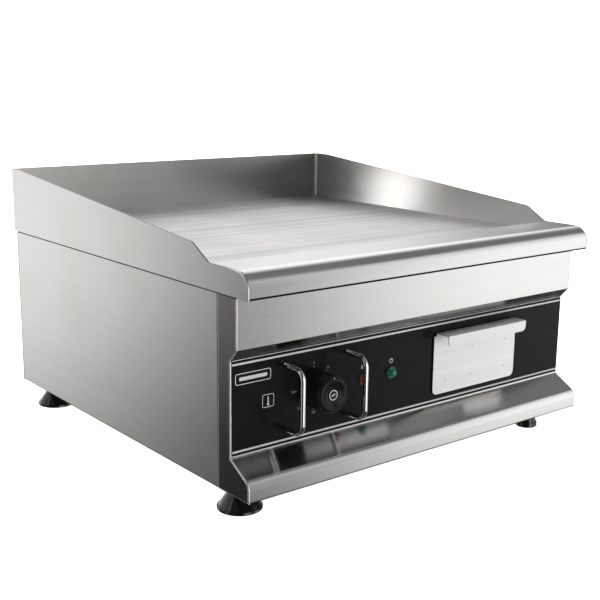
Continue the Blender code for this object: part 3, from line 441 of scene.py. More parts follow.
def finished(node, material, edge=0.0003, segments=2, angle=30.0):
    """Stands for a node with the same shape, its edges rounded and its bends shaded smooth."""
    data = clean_copy(node)
    smooth(data, angle)
    piece = add_piece(f"{node}_finished", data, material, BODY_OF[node], [node])
    round_edges(piece, edge, segments)
    return piece


def lathe(profile, steps=96):
    """A mesh turned about its own z axis from (radius, height) points, outer side downwards."""
    mesh = bmesh.new()
    corners = [mesh.verts.new((radius, 0.0, height)) for radius, height in profile]
    edges = [mesh.edges.new(pair) for pair in zip(corners, corners[1:])]
    bmesh.ops.spin(
        mesh,
        geom=corners + edges,
        axis=(0.0, 0.0, 1.0),
        cent=(0.0, 0.0, 0.0),
        angle=2 * math.pi,
        steps=steps,
    )
    bmesh.ops.remove_doubles(mesh, verts=mesh.verts, dist=1e-6)
    bmesh.ops.recalc_face_normals(mesh, faces=mesh.faces)
    data = bpy.data.meshes.new("turned")
    mesh.to_mesh(data)
    mesh.free()
    return data


TO_FRONT = Matrix.Rotation(math.pi / 2, 4, "X")  # a turned piece's z axis laid towards the front


def arc(centre, radius, start, end, steps=10):
    """Points (r, z) on an arc, with its angles in degrees."""
    turns = [math.radians(start + (end - start) * step / steps) for step in range(steps + 1)]
    return [(centre[0] + radius * math.cos(turn), centre[1] + radius * math.sin(turn)) for turn in turns]


def flat_shape(loops, thickness):
    """A mesh filled between loops in the xz plane, with its front at y = 0 and its back behind."""
    curve = bpy.data.curves.new("flat", "CURVE")
    curve.dimensions = "2D"
    curve.fill_mode = "BOTH"
    curve.extrude = thickness / 2
    for loop in loops:
        spline = curve.splines.new("POLY")
        spline.points.add(len(loop) - 1)
        for point, (across, up) in zip(spline.points, loop):
            point.co = (across, up, 0.0, 1.0)
        spline.use_cyclic_u = True
    data = mesh_of(curve)
    data.transform(Matrix.Translation((0.0, thickness / 2, 0.0)) @ TO_FRONT)
    return data


def mesh_of(curve):
    """The welded mesh of a curve or text, which is removed."""
    holder = bpy.data.objects.new("holder", curve)
    bpy.context.scene.collection.objects.link(holder)
    bpy.context.view_layer.update()
    evaluated = holder.evaluated_get(bpy.context.evaluated_depsgraph_get())
    data = bpy.data.meshes.new_from_object(evaluated)
    bpy.data.objects.remove(holder, do_unlink=True)
    mesh = bmesh.new()
    mesh.from_mesh(data)
    bmesh.ops.remove_doubles(mesh, verts=mesh.verts, dist=1e-7)
    mesh.to_mesh(data)
    mesh.free()
    return data


def rectangle(left, low, right, high, radius=0.0):
    """A loop of points round a rectangle, with its corners rounded where a radius is given."""
    if radius == 0.0:
        return [(left, low), (right, low), (right, high), (left, high)]
    corners = [
        ((right - radius, low + radius), -90, 0),
        ((right - radius, high - radius), 0, 90),
        ((left + radius, high - radius), 90, 180),
        ((left + radius, low + radius), 180, 270),
    ]
    return [point for centre, start, end in corners for point in arc(centre, radius, start, end, 6)]


def circle(x, z, radius, steps=40):
    return arc((x, z), radius, 0, 360 - 360 / steps, steps - 1)


def bent_rod(path, radius, fineness=12):
    """A round rod along a path of points, as a mesh."""
    curve = bpy.data.curves.new("rod", "CURVE")
    curve.dimensions = "3D"
    curve.bevel_depth = radius
    curve.bevel_resolution = fineness
    curve.use_fill_caps = True
    spline = curve.splines.new("POLY")
    spline.points.add(len(path) - 1)
    for point, place in zip(spline.points, path):
        point.co = (*place, 1.0)
    data = mesh_of(curve)
    smooth(data, 50)
    return data


def soften(data, width, segments, chosen):
    """Rounds the edges that a test of their two ends chooses; the rounded faces get slot 1."""
    mesh = bmesh.new()
    mesh.from_mesh(data)
    edges = [edge for edge in mesh.edges if chosen(edge.verts[0].co, edge.verts[1].co)]
    bmesh.ops.bevel(
        mesh,
        geom=edges,
        offset=width,
        offset_type="OFFSET",
        segments=segments,
        profile=0.5,
        affect="EDGES",
        clamp_overlap=True,
        material=1,
    )
    mesh.to_mesh(data)
    mesh.free()


# ---------------------------------------------------------------- body and top

CHEEK_THICK = 0.0020  # the cheeks' folded front edge, which the front panel ends against
CHEEK_ROUND = 0.0018
CHEEK_TOP_PLAIN = 0.0010  # the top of a cheek's outline that keeps its sharp edge
NOSE_ROUND = 0.0018
NOSE_LENGTH = 0.0240  # from the front of the splash guard to the rear of its nose ends
PANEL_TUCK = 0.0011  # how far the finished front panel rises into the gap under the nose
CUT_EDGE_RISE = 0.0020  # the splash guard's upward faces above this are its cut top edges

BEAD_RADIUS = 0.0015
BEAD_INSET = 0.0030  # from the outer faces of the splash guard to a bead's middle
BEAD_FOOT_GAP = 0.0004
BEAD_HEAD_GAP = 0.0006

SEAL_SETBACK = 0.0300  # the seal's front end, behind the front of the splash guard
SEAL_INSET = 0.0010  # its middle, in from the outer face
SEAL_THICK = 0.0012
SEAL_SLACK = 0.0001


def make_front_corners():
    """Cheeks with a rounded polished front edge, brightened by a painted highlight, and the front panel that ends
    against them; the cheeks' flats and the panel's slope carry painted shade.
    """
    panel = clean_copy("front_panel")
    reach = max(corner.co.x for corner in panel.vertices)
    top = max(corner.co.z for corner in panel.vertices)
    panel_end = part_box("front_cheek_right")[1].x - CHEEK_THICK - 0.0001
    for corner in panel.vertices:
        if corner.co.z > top - TOUCH:
            corner.co.z += PANEL_TUCK
        if abs(corner.co.x) > reach - TOUCH:
            corner.co.x = math.copysign(panel_end, corner.co.x)
    smooth(panel)
    # The slope's faces take slot 1, the steel with painted shade towards the left.
    for face in panel.polygons:
        if face.normal.y < -0.2 and face.normal.z < -0.2 and face.center.z > OVERLAY_HIGH.z:
            face.material_index = 1
    panel = add_piece("front_panel_finished", panel, SHEET_X, BODY, ["front_panel"])
    panel.data.materials.append(STEEL_SLOPE_PAINTED_SHADE)
    round_edges(panel, 0.0003)
    for side, sign in (("left", -1), ("right", 1)):
        node = f"front_cheek_{side}"
        low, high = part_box(node)
        outer = max(sign * low.x, sign * high.x)
        data = clean_copy(node)
        for corner in data.vertices:
            if sign * corner.co.x < outer - 0.0005:
                corner.co.x = sign * (outer - CHEEK_THICK)
        soften(
            data,
            CHEEK_ROUND,
            5,
            lambda start, end: min(sign * start.x, sign * end.x) > outer - TOUCH
            and min(start.z, end.z) < high.z - CHEEK_TOP_PLAIN,
        )
        smooth(data, 25)
        # The cheeks' flats take the darkened steel: painted shade.
        piece = add_piece(f"{node}_finished", data, STEEL_UPRIGHT_PAINTED_SHADE, BODY, [node])
        # The rounded front edge takes the polished steel with its painted highlight.
        data.materials.append(POLISHED_AND_PAINTED_HIGHLIGHT)
        round_edges(piece, 0.0002, 1)


def make_splash():
    """The splash guard, with polished rounded edges on its nose ends, brightened by a painted highlight, and dark
    cut top edges.
    """
    low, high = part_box("splash_guard")
    nose_rear = low.y + NOSE_LENGTH
    data = clean_copy("splash_guard")
    soften(
        data,
        NOSE_ROUND,
        4,
        lambda start, end: min(abs(start.x), abs(end.x)) > high.x - TOUCH
        and max(start.y, end.y) < nose_rear,
    )
    smooth(data, 25)
    cut_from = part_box("griddle_plate")[1].z + CUT_EDGE_RISE
    for face in data.polygons:
        if face.material_index == 0 and face.normal.z > 0.3 and face.center.z > cut_from:
            face.material_index = 2
    piece = add_piece(
        "splash_guard_finished", data, SHEET_LEVEL, BODY, ["splash_guard"]
    )
    # The nose ends' rounded edges take the polished steel with its painted highlight.
    data.materials.append(POLISHED_AND_PAINTED_HIGHLIGHT)
    data.materials.append(CUT_EDGE)
    round_edges(piece, 0.0004)
    return piece


def block(middle, size):
    """A mesh box round a middle."""
    mesh = bmesh.new()
    bmesh.ops.create_cube(mesh, size=1.0)
    data = bpy.data.meshes.new("block")
    mesh.to_mesh(data)
    mesh.free()
    data.transform(Matrix.Translation(middle) @ Matrix.Diagonal((*size, 1.0)))
    return data


def make_splash_joints():
    """Polished weld beads in the two rear corners, brightened by a painted highlight, and the black seals between
    top and body.
    """
    low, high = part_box("splash_guard")
    plate_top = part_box("griddle_plate")[1].z
    body_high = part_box("side_panel_right")[1]
    bead_y = high.y - BEAD_INSET
    bead_low = plate_top + BEAD_FOOT_GAP
    bead_high = high.z - BEAD_HEAD_GAP
    front = low.y + SEAL_SETBACK
    rear = body_high.y
    seal_size = (SEAL_THICK, rear - front, low.z - body_high.z - SEAL_SLACK)
    for side, sign in (("left", -1), ("right", 1)):
        bead_x = sign * (high.x - BEAD_INSET)
        bead = bent_rod([(bead_x, bead_y, bead_low), (bead_x, bead_y, bead_high)], BEAD_RADIUS, 8)
        add_piece(f"corner_weld_{side}", bead, POLISHED_AND_PAINTED_HIGHLIGHT, BODY)
        middle = (sign * (body_high.x - SEAL_INSET), (front + rear) / 2, (body_high.z + low.z) / 2)
        add_piece(f"top_seal_{side}", block(middle, seal_size), BLACK, BODY)


def make_sheet_metal():
    for node in ("front_deck", "rear_panel"):
        finished(node, SHEET_X, 0.0003)
    for side in ("left", "right"):
        finished(f"side_panel_{side}", SHEET_Y, 0.0006, 3)
    finished("griddle_plate", PLATE, 0.0006, 3)
    finished("base_plate", GALVANISED, 0.0002)
    finished("fascia_overlay", FILM, 0.0001, 1)
    finished("drawer_pan", DRAWER_STEEL, 0.0003)
    finished("drawer_front", DRAWER_STEEL, 0.0003)


def make_hidden_pieces():
    looks = {
        "galvanised": GALVANISED,
        "element_sheath": SHEATH,
        "mineral_wool": WOOL,
        "cream_plastic": CREAM,
        "copper": COPPER,
        "brass": BRASS,
        "black_plastic": BLACK,
        "red_plastic": RED,
    }
    replaced = {"base_plate"}
    for node, slot in SLOTS.items():
        if slot in looks and node not in replaced:
            finished(node, looks[slot], 0.0002, 1, 40)


# ---------------------------------------------------------------- controls

KNOB_RIM = 0.0052  # the radius that rounds the rim, whose crest is KNOB_CREST from the axis
KNOB_CREST = 0.0178
KNOB_POCKET_DEPTH = 0.0070  # the pocket that the centre cap sits in
KNOB_POCKET_GAP = 0.0003
KNOB_LIP_DEPTH = 0.0036
KNOB_LIP_ROUND = 0.0004
# The dish between the pocket's lip and the rim, as (distance from the axis, depth under the crest)
KNOB_DISH = ((0.0100, 0.0031), (0.0120, 0.0026), (0.0138, 0.0016), (0.0152, 0.0008), (0.0166, 0.0002))
CAP_RING_RADII = (0.0064, 0.0053)
CAP_BAR_HALF = (0.0030, 0.0008)
CAP_BAR_TILT = -25.0
CAP_MARK_THICK = 0.0004
CAP_MARK_PROUD = 0.0003


def make_knob():
    """A deep round knob with a rounded rim, a dished front and a ringed centre cap."""
    low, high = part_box("knob")
    cap_low, cap_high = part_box("knob_cap")
    height = high.y - low.y
    radius = (high.x - low.x) / 2
    pocket = (cap_high.x - cap_low.x) / 2 + KNOB_POCKET_GAP
    floor = height - KNOB_POCKET_DEPTH
    lip = height - KNOB_LIP_DEPTH
    profile = [(0.0, floor), (pocket, floor), (pocket, lip)]
    profile += arc((pocket + KNOB_LIP_ROUND, lip), KNOB_LIP_ROUND, 180, 90, 4)
    profile += [(reach, height - depth) for reach, depth in KNOB_DISH]
    profile += arc((KNOB_CREST, height - KNOB_RIM), KNOB_RIM, 90, 8, 14)
    profile += [(0.0231, height - 0.0068), (0.0233, height * 0.55), (radius, 0.0060)]
    profile += [(radius, 0.0008), (radius - 0.0006, 0.0), (0.012, 0.0), (0.0, 0.0)]
    data = lathe(profile, 128)
    data.transform(Matrix.Translation((KNOB_AXIS.x, high.y, KNOB_AXIS.z)) @ TO_FRONT)
    smooth(data, 40)
    add_piece("knob_finished", data, KNOB_BLACK, KNOB_BODY, ["knob"])
    finished("knob_cap", KNOB_BLACK, 0.0003)
    rim = flat_shape([circle(0.0, 0.0, radius, 64) for radius in CAP_RING_RADII], CAP_MARK_THICK)
    half_long, half_wide = CAP_BAR_HALF
    bar_outline = rectangle(-half_long, -half_wide, half_long, half_wide, half_wide)
    bar = flat_shape([bar_outline], CAP_MARK_THICK)
    bar.transform(Matrix.Rotation(math.radians(CAP_BAR_TILT), 4, "Y"))
    for name, mark in (("knob_cap_ring", rim), ("knob_cap_bar", bar)):
        mark.transform(Matrix.Translation((KNOB_AXIS.x, cap_low.y - CAP_MARK_PROUD, KNOB_AXIS.z)))
        add_piece(name, mark, CHROME, KNOB_BODY)
    line = flat_shape([rectangle(-0.0005, 0.0192, 0.0005, 0.0215, 0.0004)], 0.0040)
    line.transform(Matrix.Translation((KNOB_AXIS.x, low.y + 0.0006, KNOB_AXIS.z)))
    add_piece("knob_pointer", line, GREY_INK, KNOB_BODY)


def make_lamps():
    for colour, glass in (("green", GREEN_GLASS), ("orange", ORANGE_GLASS)):
        node = f"lamp_lens_{colour}"
        low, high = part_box(node)
        radius = (high.x - low.x) / 2
        height = high.y - low.y
        brim = 0.0018
        dome = radius - 0.0009
        profile = [(0.0, height)] + arc((0.0, height - 0.0060), 0.0060, 90, 40, 8)
        profile += [(dome, brim + 0.0006), (dome + 0.0002, brim)]
        profile += [(radius - 0.0003, brim), (radius, brim - 0.0003), (radius, 0.0), (0.0, 0.0)]
        data = lathe(profile, 64)
        middle = (low + high) / 2
        data.transform(Matrix.Translation((middle.x, high.y, middle.z)) @ TO_FRONT)
        smooth(data, 40)
        add_piece(f"{node}_finished", data, glass, BODY, [node])


DRAWER_SHEET = 0.0012
WELD_RADIUS = 0.0011
WELD_THICK = 0.0001
WELD_PROUD = 0.00008
WELD_COLUMNS = (-0.058, -0.007, 0.061)  # across, from the middle of the drawer's front
WELD_ROWS = (0.018, 0.058)  # up, from its lower edge


def make_spot_welds():
    """Small flat discs, barely proud of the drawer's front, where the pan is welded behind it."""
    low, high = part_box("drawer_front")
    middle = (low.x + high.x) / 2
    face = high.y - DRAWER_SHEET
    for row, height in enumerate(WELD_ROWS, 1):
        for column, shift in enumerate(WELD_COLUMNS, 1):
            disc = flat_shape([circle(middle + shift, low.z + height, WELD_RADIUS, 24)], WELD_THICK)
            disc.transform(Matrix.Translation((0.0, face - WELD_PROUD, 0.0)))
            add_piece(f"spot_weld_{row}_{column}", disc, GALVANISED, DRAWER)


RAIL_BEND = 0.013


def make_guard_rails():
    """Bright rods bent twice, with their ends in the fascia."""
    for side in ("left", "right"):
        node = f"guard_rail_{side}"
        low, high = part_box(node)
        radius = (high.x - low.x) / 2
        x = (low.x + high.x) / 2
        bend_y = low.y + radius + RAIL_BEND
        upper = high.z - radius
        lower = low.z + radius
        points = [(high.y, upper)]
        points += arc((bend_y, upper - RAIL_BEND), RAIL_BEND, 90, 180, 14)
        points += arc((bend_y, lower + RAIL_BEND), RAIL_BEND, 180, 270, 14)
        points.append((high.y, lower))
        path = [(x, y, z) for y, z in points]
        add_piece(f"{node}_finished", bent_rod(path, radius), CHROME, BODY, [node])


FOOT_RIMS = {"left": 0.0045, "right": 0.0080}
FOOT_FLARE = 0.95  # below 1 the flange is a dome, above 1 a bell
FOOT_NECK = 0.0095
FOOT_NECK_LENGTH = 0.0045
FOOT_STEPS = 16  # points down the flare


def make_feet():
    """Threaded stems with a short neck that flares out to the foot's flange."""
    for place in ("front", "rear"):
        for side in ("left", "right"):
            node = f"foot_{place}_{side}"
            low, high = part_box(node)
            middle = (low + high) / 2
            flange = (high.x - low.x) / 2
            rim = FOOT_RIMS[side] - 0.0001
            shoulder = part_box("base_plate")[0].z - 0.0025
            flare_top = shoulder - FOOT_NECK_LENGTH
            profile = [(0.0, high.z), (0.0036, high.z), (0.0040, high.z - 0.0004), (0.0040, shoulder)]
            profile += [(FOOT_NECK - 0.0006, shoulder), (FOOT_NECK, shoulder - 0.0006)]
            profile += [(FOOT_NECK, flare_top)]
            for step in range(1, FOOT_STEPS + 1):
                part = step / FOOT_STEPS
                reach = FOOT_NECK + (flange - 0.0016 - FOOT_NECK) * part ** FOOT_FLARE
                profile.append((reach, flare_top + (rim - flare_top) * part))
            profile += arc((flange - 0.0014, rim - 0.0014), 0.0014, 80, 0, 5)
            profile += [(flange, 0.0006), (flange - 0.0006, 0.0), (0.0, 0.0)]
            data = lathe(profile, 96)
            data.transform(Matrix.Translation((middle.x, middle.y, 0.0)))
            smooth(data, 35)
            add_piece(f"{node}_finished", data, FOOT_BLACK, node, [node])


# ---------------------------------------------------------------- print on the fascia

INK_THICKNESS = 0.00006
STRIPE_WIDE = 0.0024
STRIPE_INSET = 0.0006  # of the stripes' ends, from the overlay's
UPPER_STRIPE = OVERLAY_HIGH.z - 0.0039  # the stripes' middles
LOWER_STRIPE = OVERLAY_LOW.z + 0.0051
EDGE_HIGHLIGHT_WIDE = 0.0006
MARGIN_RISE = 0.0007  # the black margin runs on this far above the overlay


def print_on_fascia(name, loops, material):
    """A flat print that stands just in front of the overlay."""
    data = flat_shape(loops, INK_THICKNESS)
    data.transform(Matrix.Translation((0.0, FASCIA - INK_THICKNESS - 0.00001, 0.0)))
    return add_piece(name, data, material, BODY)


def frame_loops(left, low, right, high, stroke, radius):
    """The outer and inner loops of a rounded frame."""
    inner = max(radius - stroke, 0.0)
    return [
        rectangle(left, low, right, high, radius),
        rectangle(left + stroke, low + stroke, right - stroke, high - stroke, inner),
    ]


def make_stripes():
    """Two light stripes along the overlay, and a light line along each of its long edges: painted highlights of
    the panel's bends there.
    """
    left = OVERLAY_LOW.x + STRIPE_INSET
    right = OVERLAY_HIGH.x - STRIPE_INSET
    for name, middle in (("upper", UPPER_STRIPE), ("lower", LOWER_STRIPE)):
        loops = [rectangle(left, middle - STRIPE_WIDE / 2, right, middle + STRIPE_WIDE / 2)]
        print_on_fascia(f"fascia_stripe_{name}", loops, GREY_INK)
    margin_top = OVERLAY_HIGH.z + MARGIN_RISE
    margin = rectangle(left, OVERLAY_HIGH.z - 0.0003, right, margin_top)
    print_on_fascia("fascia_margin", [margin], FILM)
    # The light lines along the overlay's long edges are painted highlights of the panel's bends.
    for name, low in (("upper", margin_top), ("lower", OVERLAY_LOW.z + 0.0001)):
        print_on_fascia(f"fascia_edge_highlight_{name}", [rectangle(left, low, right, low + EDGE_HIGHLIGHT_WIDE)], PAINTED_EDGE_HIGHLIGHT)


DIAL_NUMBERS = ("0", "50", "100", "150", "200", "250", "300")
DIAL_STEP = 45.0
DIAL_TICK = (0.0258, 0.0278)  # a tick's ends, from the knob's axis
DIAL_TICK_HALF = 0.0003
DIAL_NUMBER_RADIUS = 0.0312
DIAL_NUMBER_SIZE = 0.0042


def make_dial():
    """Ticks and temperatures round the knob, clockwise from the top."""
    axis = Vector((KNOB_AXIS.x, KNOB_AXIS.z))
    for index, number in enumerate(DIAL_NUMBERS):
        turn = math.radians(90 - DIAL_STEP * index)
        ray = Vector((math.cos(turn), math.sin(turn)))
        side = Vector((-ray.y, ray.x)) * DIAL_TICK_HALF
        start = axis + ray * DIAL_TICK[0]
        end = axis + ray * DIAL_TICK[1]
        tick = [start - side, end - side, end + side, start + side]
        print_on_fascia(f"dial_tick_{number}", [tick], DIAL_INK)
        text = bpy.data.curves.new(f"dial_{number}", "FONT")
        text.body = number
        text.size = DIAL_NUMBER_SIZE
        text.align_x = "CENTER"
        text.align_y = "CENTER"
        text.extrude = INK_THICKNESS / 2
        data = mesh_of(text)
        centre = axis + ray * DIAL_NUMBER_RADIUS
        place = Vector((centre.x, FASCIA - INK_THICKNESS, centre.y))
        data.transform(Matrix.Translation(place) @ TO_FRONT)
        add_piece(f"dial_number_{number}", data, DIAL_INK, BODY)


def around(middle, half):
    """The left, low, right and high of a rectangle, from its middle and its half sizes."""
    low = middle - half
    high = middle + half
    return low.x, low.y, high.x, high.y


BADGE_MIDDLE = Vector((KNOB_AXIS.x - 0.0905, KNOB_AXIS.z + 0.0300))
BADGE_HALF = Vector((0.0255, 0.0068))
BADGE_BAR_HALF = Vector((0.0200, 0.0021))
SIGN_WIDE = 0.0169
SIGN_TALL = 0.0158
SIGN_GAP = 0.0075  # from the top of a lamp's lens to the middle of its sign


def make_blank_badge():
    """A plain framed bar in the corner where such griddles carry a name plate."""
    frame_line = frame_loops(*around(BADGE_MIDDLE, BADGE_HALF), 0.0008, 0.003)
    print_on_fascia("badge_frame", frame_line, WHITE_INK)
    bar = rectangle(*around(BADGE_MIDDLE, BADGE_BAR_HALF), 0.0010)
    print_on_fascia("badge_bar", [bar], GREY_INK)


def make_pictograms():
    """A boxed thermometer beside the knob and a plain sign over each lamp."""
    box_left = KNOB_AXIS.x - 0.0774
    box_low = KNOB_AXIS.z - 0.0109
    outline = frame_loops(box_left, box_low, box_left + SIGN_WIDE, box_low + SIGN_TALL, 0.0006, 0.002)
    print_on_fascia("sign_box", outline, WHITE_INK)
    middle = box_left + SIGN_WIDE / 2
    print_on_fascia("sign_bulb", [circle(middle, box_low + 0.0036, 0.0016)], WHITE_INK)
    for index in range(4):
        low = box_low + 0.0060 + 0.0019 * index
        bar = rectangle(middle - 0.0011, low, middle + 0.0011, low + 0.0011, 0.0003)
        print_on_fascia(f"sign_bar_{index + 1}", [bar], WHITE_INK)
    lamp_low, lamp_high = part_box("lamp_lens_green")
    x = (lamp_low.x + lamp_high.x) / 2
    z = lamp_high.z + SIGN_GAP
    print_on_fascia("power_sign_ring", [circle(x, z, 0.0030), circle(x, z, 0.0024)], WHITE_INK)
    stroke = rectangle(x - 0.0003, z + 0.0006, x + 0.0003, z + 0.0036)
    print_on_fascia("power_sign_bar", [stroke], WHITE_INK)
    lamp_low, lamp_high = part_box("lamp_lens_orange")
    x = (lamp_low.x + lamp_high.x) / 2
    for index in range(3):
        left = x - 0.0034 + 0.0026 * index
        bar = rectangle(left, z - 0.0024, left + 0.0010, z + 0.0024, 0.0004)
        print_on_fascia(f"heat_sign_bar_{index + 1}", [bar], WHITE_INK)


# ---------------------------------------------------------------- studio and camera

def ring(graph, turn, levels):
    """Brightness by compass angle, from (degrees, level) pairs that run from -180 to 180."""
    highest = max(level for angle, level in levels)
    stops = [((angle + 180.0) / 360.0, level / highest) for angle, level in levels]
    shade = graph.ramp(turn, stops)
    return graph.math("MULTIPLY", shade, highest)


# Brightness of the studio by compass angle, in degrees from +X towards +Y.
LEVEL = [(-180, 0.06), (-105, 0.06), (-100, 2.4), (-72, 2.4), (-67, 0.45), (-63, 0.34), (-54.5, 0.45)]
LEVEL += [(-51, 0.72), (-47, 1.12), (-41, 1.45), (-30, 1.52), (-24, 1.3), (-20, 0.25), (35, 0.25)]
LEVEL += [(40, 0.95), (100, 1.25), (113, 1.26), (117, 1.24), (120, 0.96), (122, 0.68), (124.5, 0.33)]
LEVEL += [(128, 0.16), (161, 0.14), (166, 1.0), (174, 1.0), (179, 0.06), (180, 0.06)]
BELOW = [(angle, level * (0.26 if 108 < angle < 150 else 0.75)) for angle, level in LEVEL]
ABOVE = [(-180, 0.06), (-105, 0.06), (-100, 2.4), (-72, 2.4), (-67, 0.45), (-63, 0.32), (-56, 0.40)]
ABOVE += [(-52, 0.60), (-48, 0.98), (-43, 1.32), (-39, 1.45), (-28, 1.5), (-22, 1.2), (-16, 0.3)]
ABOVE += [(24, 0.12), (33, 0.12), (38, 0.26), (43, 0.68), (47, 1.02), (53, 1.10), (58, 0.90)]
ABOVE += [(63, 0.68), (113, 1.0), (122, 0.5), (127, 0.6), (130, 1.2), (138, 1.2)]
ABOVE += [(161, 0.3), (167, 1.0), (174, 1.0), (180, 0.06)]
RAISED = [(-180, 0.06), (-105, 0.06), (-100, 2.0), (-72, 2.0), (-67, 0.4), (-63, 0.30), (-56, 0.38)]
RAISED += [(-51, 0.62), (-47, 0.95), (-42, 1.25), (-37, 1.42), (-26, 1.4), (-19, 0.5), (-10, 0.22)]
RAISED += [(15, 0.2), (26, 0.28), (31, 0.50), (37, 0.92), (46, 1.20), (62, 1.25), (100, 1.1)]
RAISED += [(113, 0.95), (122, 0.5), (129, 0.9), (140, 1.0), (150, 0.5), (161, 0.3), (167, 1.0)]
RAISED += [(174, 1.0), (180, 0.06)]
SLANTING = [(-180, 0.06), (-105, 0.06), (-98, 1.2), (-75, 1.2), (-68, 0.36), (-50, 0.55), (-45, 0.75)]
SLANTING += [(-40, 0.95), (-36, 1.05), (-26, 1.1), (-18, 0.4), (-8, 0.22), (12, 0.25), (22, 0.6)]
SLANTING += [(28, 1.2), (34, 1.5), (62, 1.5), (100, 1.1), (122, 0.5), (129, 0.7), (140, 0.9)]
SLANTING += [(150, 0.5), (161, 0.4), (167, 1.0), (174, 1.0), (180, 0.06)]
STEEP = [(-180, 0.06), (-100, 0.10), (-66, 0.30), (-56, 0.42), (-46, 0.60), (-38, 0.45), (-30, 0.20)]
STEEP += [(8, 0.22), (18, 0.4), (26, 1.0), (33, 1.4), (62, 1.4)]
STEEP += [(100, 1.0), (122, 0.5), (140, 0.7), (161, 0.4), (167, 1.0), (174, 1.0), (180, 0.06)]
HIGH = [(-180, 0.22), (-100, 0.15), (-60, 0.26), (-46, 0.36), (-36, 0.25), (10, 0.22), (17, 0.36)]
HIGH += [(24, 0.55), (32, 0.95), (62, 1.0), (100, 0.7), (122, 0.4)]
HIGH += [(150, 0.4), (165, 1.0), (176, 0.8), (180, 0.22)]
# The rings by height, which is the sine of the elevation; the brightness changes smoothly between them.
STUDIO = [
    (-0.52, [(-180, 0.05), (180, 0.05)]),
    (-0.37, BELOW),
    (-0.20, LEVEL),
    (-0.03, LEVEL),
    (0.09, ABOVE),
    (0.18, ABOVE),
    (0.27, RAISED),
    (0.48, SLANTING),
    (0.64, STEEP),
    (0.76, HIGH),
    (0.95, [(-180, 0.15), (180, 0.15)]),
]


def make_world():
    """A soft studio all round, whose brightness depends only on the direction in the room."""
    world = bpy.data.worlds.new("studio")
    bpy.context.scene.world = world
    world.use_nodes = True
    graph = Graph(world.node_tree)
    background = graph.nodes["Background"]
    direction = graph.node("ShaderNodeTexCoord").outputs["Generated"]
    parts = graph.node("ShaderNodeSeparateXYZ")
    graph.link(direction, parts.inputs[0])
    radians = graph.math("ARCTAN2", parts.outputs["Y"], parts.outputs["X"])
    turn = graph.span(graph.math("MULTIPLY", radians, 180.0 / math.pi), -180.0, 180.0)
    height = parts.outputs["Z"]

    below, levels = STUDIO[0]
    total = ring(graph, turn, levels)
    for above, next_levels in STUDIO[1:]:
        share = graph.span(height, below, above, 0.0, 1.0, True)
        kept = graph.math("MULTIPLY", total, graph.math("SUBTRACT", 1.0, share))
        total = graph.math("ADD", kept, graph.math("MULTIPLY", ring(graph, turn, next_levels), share))
        below = above
    background.inputs["Color"].default_value = rgb(1.0, 1.0, 1.0)
    graph.link(total, background.inputs["Strength"])
    plain = graph.node("ShaderNodeBackground")
    plain.inputs["Color"].default_value = rgb(1.0, 1.0, 1.0)
    plain.inputs["Strength"].default_value = 1.0
    chosen = graph.node("ShaderNodeMixShader")
    seen = graph.node("ShaderNodeLightPath").outputs["Is Camera Ray"]
    graph.link(seen, chosen.inputs["Fac"])
    graph.link(background.outputs[0], chosen.inputs[1])
    graph.link(plain.outputs[0], chosen.inputs[2])
    graph.link(chosen.outputs[0], graph.nodes["World Output"].inputs["Surface"])


SOFTBOX_AIM = Vector((0.298, 0.088, 0.318))  # on the splash guard's right wall
SOFTBOX_DIRECTION = Vector((-0.688, 0.717, -0.112)).normalized()  # from there to the light
SOFTBOX_DISTANCE = 0.6
SOFTBOX_SIZE = (0.065, 0.060)
SOFTBOX_WATTS = 0.135


def make_splash_light(splash):
    """A small softbox that lights the splash guard alone and makes a glow on its right wall.

    Only the knob's cap can shade it, so that the walls and the plate in its way don't.
    """
    data = bpy.data.lights.new("splash_softbox", "AREA")
    data.shape = "RECTANGLE"
    data.size, data.size_y = SOFTBOX_SIZE
    data.energy = SOFTBOX_WATTS
    light = bpy.data.objects.new("splash_softbox", data)
    light.location = SOFTBOX_AIM + SOFTBOX_DIRECTION * SOFTBOX_DISTANCE
    light.rotation_euler = SOFTBOX_DIRECTION.to_track_quat("Z", "Y").to_euler()
    light.visible_camera = False
    bpy.context.scene.collection.objects.link(light)
    lit = bpy.data.collections.new("lit_by_splash_softbox")
    lit.objects.link(splash)
    light.light_linking.receiver_collection = lit
    shading = bpy.data.collections.new("shading_splash_softbox")
    shading.objects.link(bpy.data.objects["knob_cap_finished"])
    light.light_linking.blocker_collection = shading


def make_overhead_light():
    """A wide soft light from above, which the polished steel doesn't mirror."""
    data = bpy.data.lights.new("overhead", "SUN")
    data.energy = 3.2
    data.angle = math.radians(110.0)
    light = bpy.data.objects.new("overhead", data)
    light.visible_glossy = False
    bpy.context.scene.collection.objects.link(light)


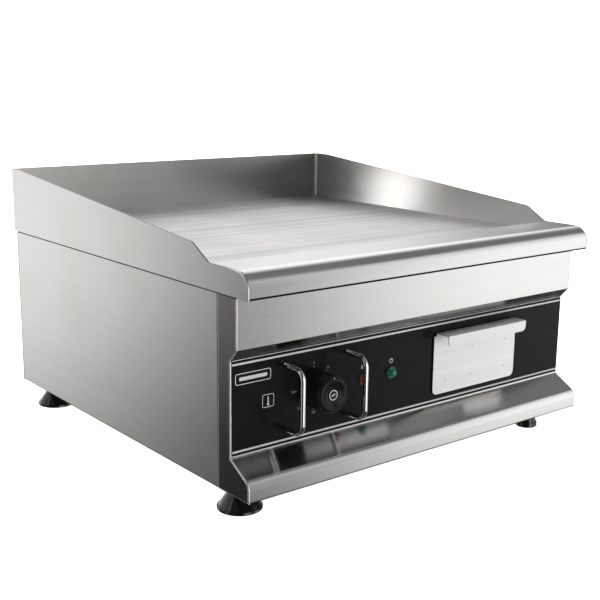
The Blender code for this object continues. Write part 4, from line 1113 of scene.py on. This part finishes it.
def make_floor():
    """A pale floor that glows a little and isn't mirrored by the steel."""
    mesh = bmesh.new()
    bmesh.ops.create_grid(mesh, x_segments=1, y_segments=1, size=30.0)
    data = bpy.data.meshes.new("floor")
    mesh.to_mesh(data)
    mesh.free()
    floor = bpy.data.objects.new("floor", data)
    bpy.context.scene.collection.objects.link(floor)
    material, graph, shader = new_material("pale_floor")
    shader.inputs["Base Color"].default_value = rgb(0.92, 0.92, 0.92)
    shader.inputs["Roughness"].default_value = 0.9
    shader.inputs["Specular IOR Level"].default_value = 0.1
    shader.inputs["Emission Color"].default_value = rgb(1.0, 1.0, 1.0)
    shader.inputs["Emission Strength"].default_value = 1.0
    data.materials.append(material)
    floor.visible_glossy = False


CAMERA_PLACE = (-0.9397, -1.2040, 0.5182)
CAMERA_LENS = 62.08
CAMERA_HEADING = math.radians(-38.612)
CAMERA_ELEVATION = math.radians(12.556)
CAMERA_ROLL = math.radians(0.701)


def make_camera():
    """The camera stands in front, to the left and a little above, and looks across the body."""
    data = bpy.data.cameras.new("camera")
    camera = bpy.data.objects.new("camera", data)
    bpy.context.scene.collection.objects.link(camera)
    data.sensor_width = 36.0
    data.lens = CAMERA_LENS
    data.clip_start = 0.05
    data.clip_end = 100.0
    back = Vector(
        (
            math.sin(CAMERA_HEADING) * math.cos(CAMERA_ELEVATION),
            -math.cos(CAMERA_HEADING) * math.cos(CAMERA_ELEVATION),
            math.sin(CAMERA_ELEVATION),
        )
    )
    right = (-back).cross(Vector((0.0, 0.0, 1.0))).normalized()
    up = right.cross(-back)
    tilted_right = right * math.cos(CAMERA_ROLL) + up * math.sin(CAMERA_ROLL)
    tilted_up = up * math.cos(CAMERA_ROLL) - right * math.sin(CAMERA_ROLL)
    turn = Matrix((tilted_right, tilted_up, back)).transposed()
    camera.matrix_world = Matrix.Translation(CAMERA_PLACE) @ turn.to_4x4()
    bpy.context.scene.camera = camera


make_sheet_metal()
make_front_corners()
splash_piece = make_splash()
make_splash_joints()
make_hidden_pieces()
make_knob()
make_lamps()
make_spot_welds()
make_guard_rails()
make_feet()
make_stripes()
make_dial()
make_blank_badge()
make_pictograms()
make_world()
make_splash_light(splash_piece)
make_floor()
make_overhead_light()
make_camera()
bpy.context.scene.view_settings.view_transform = "Standard"
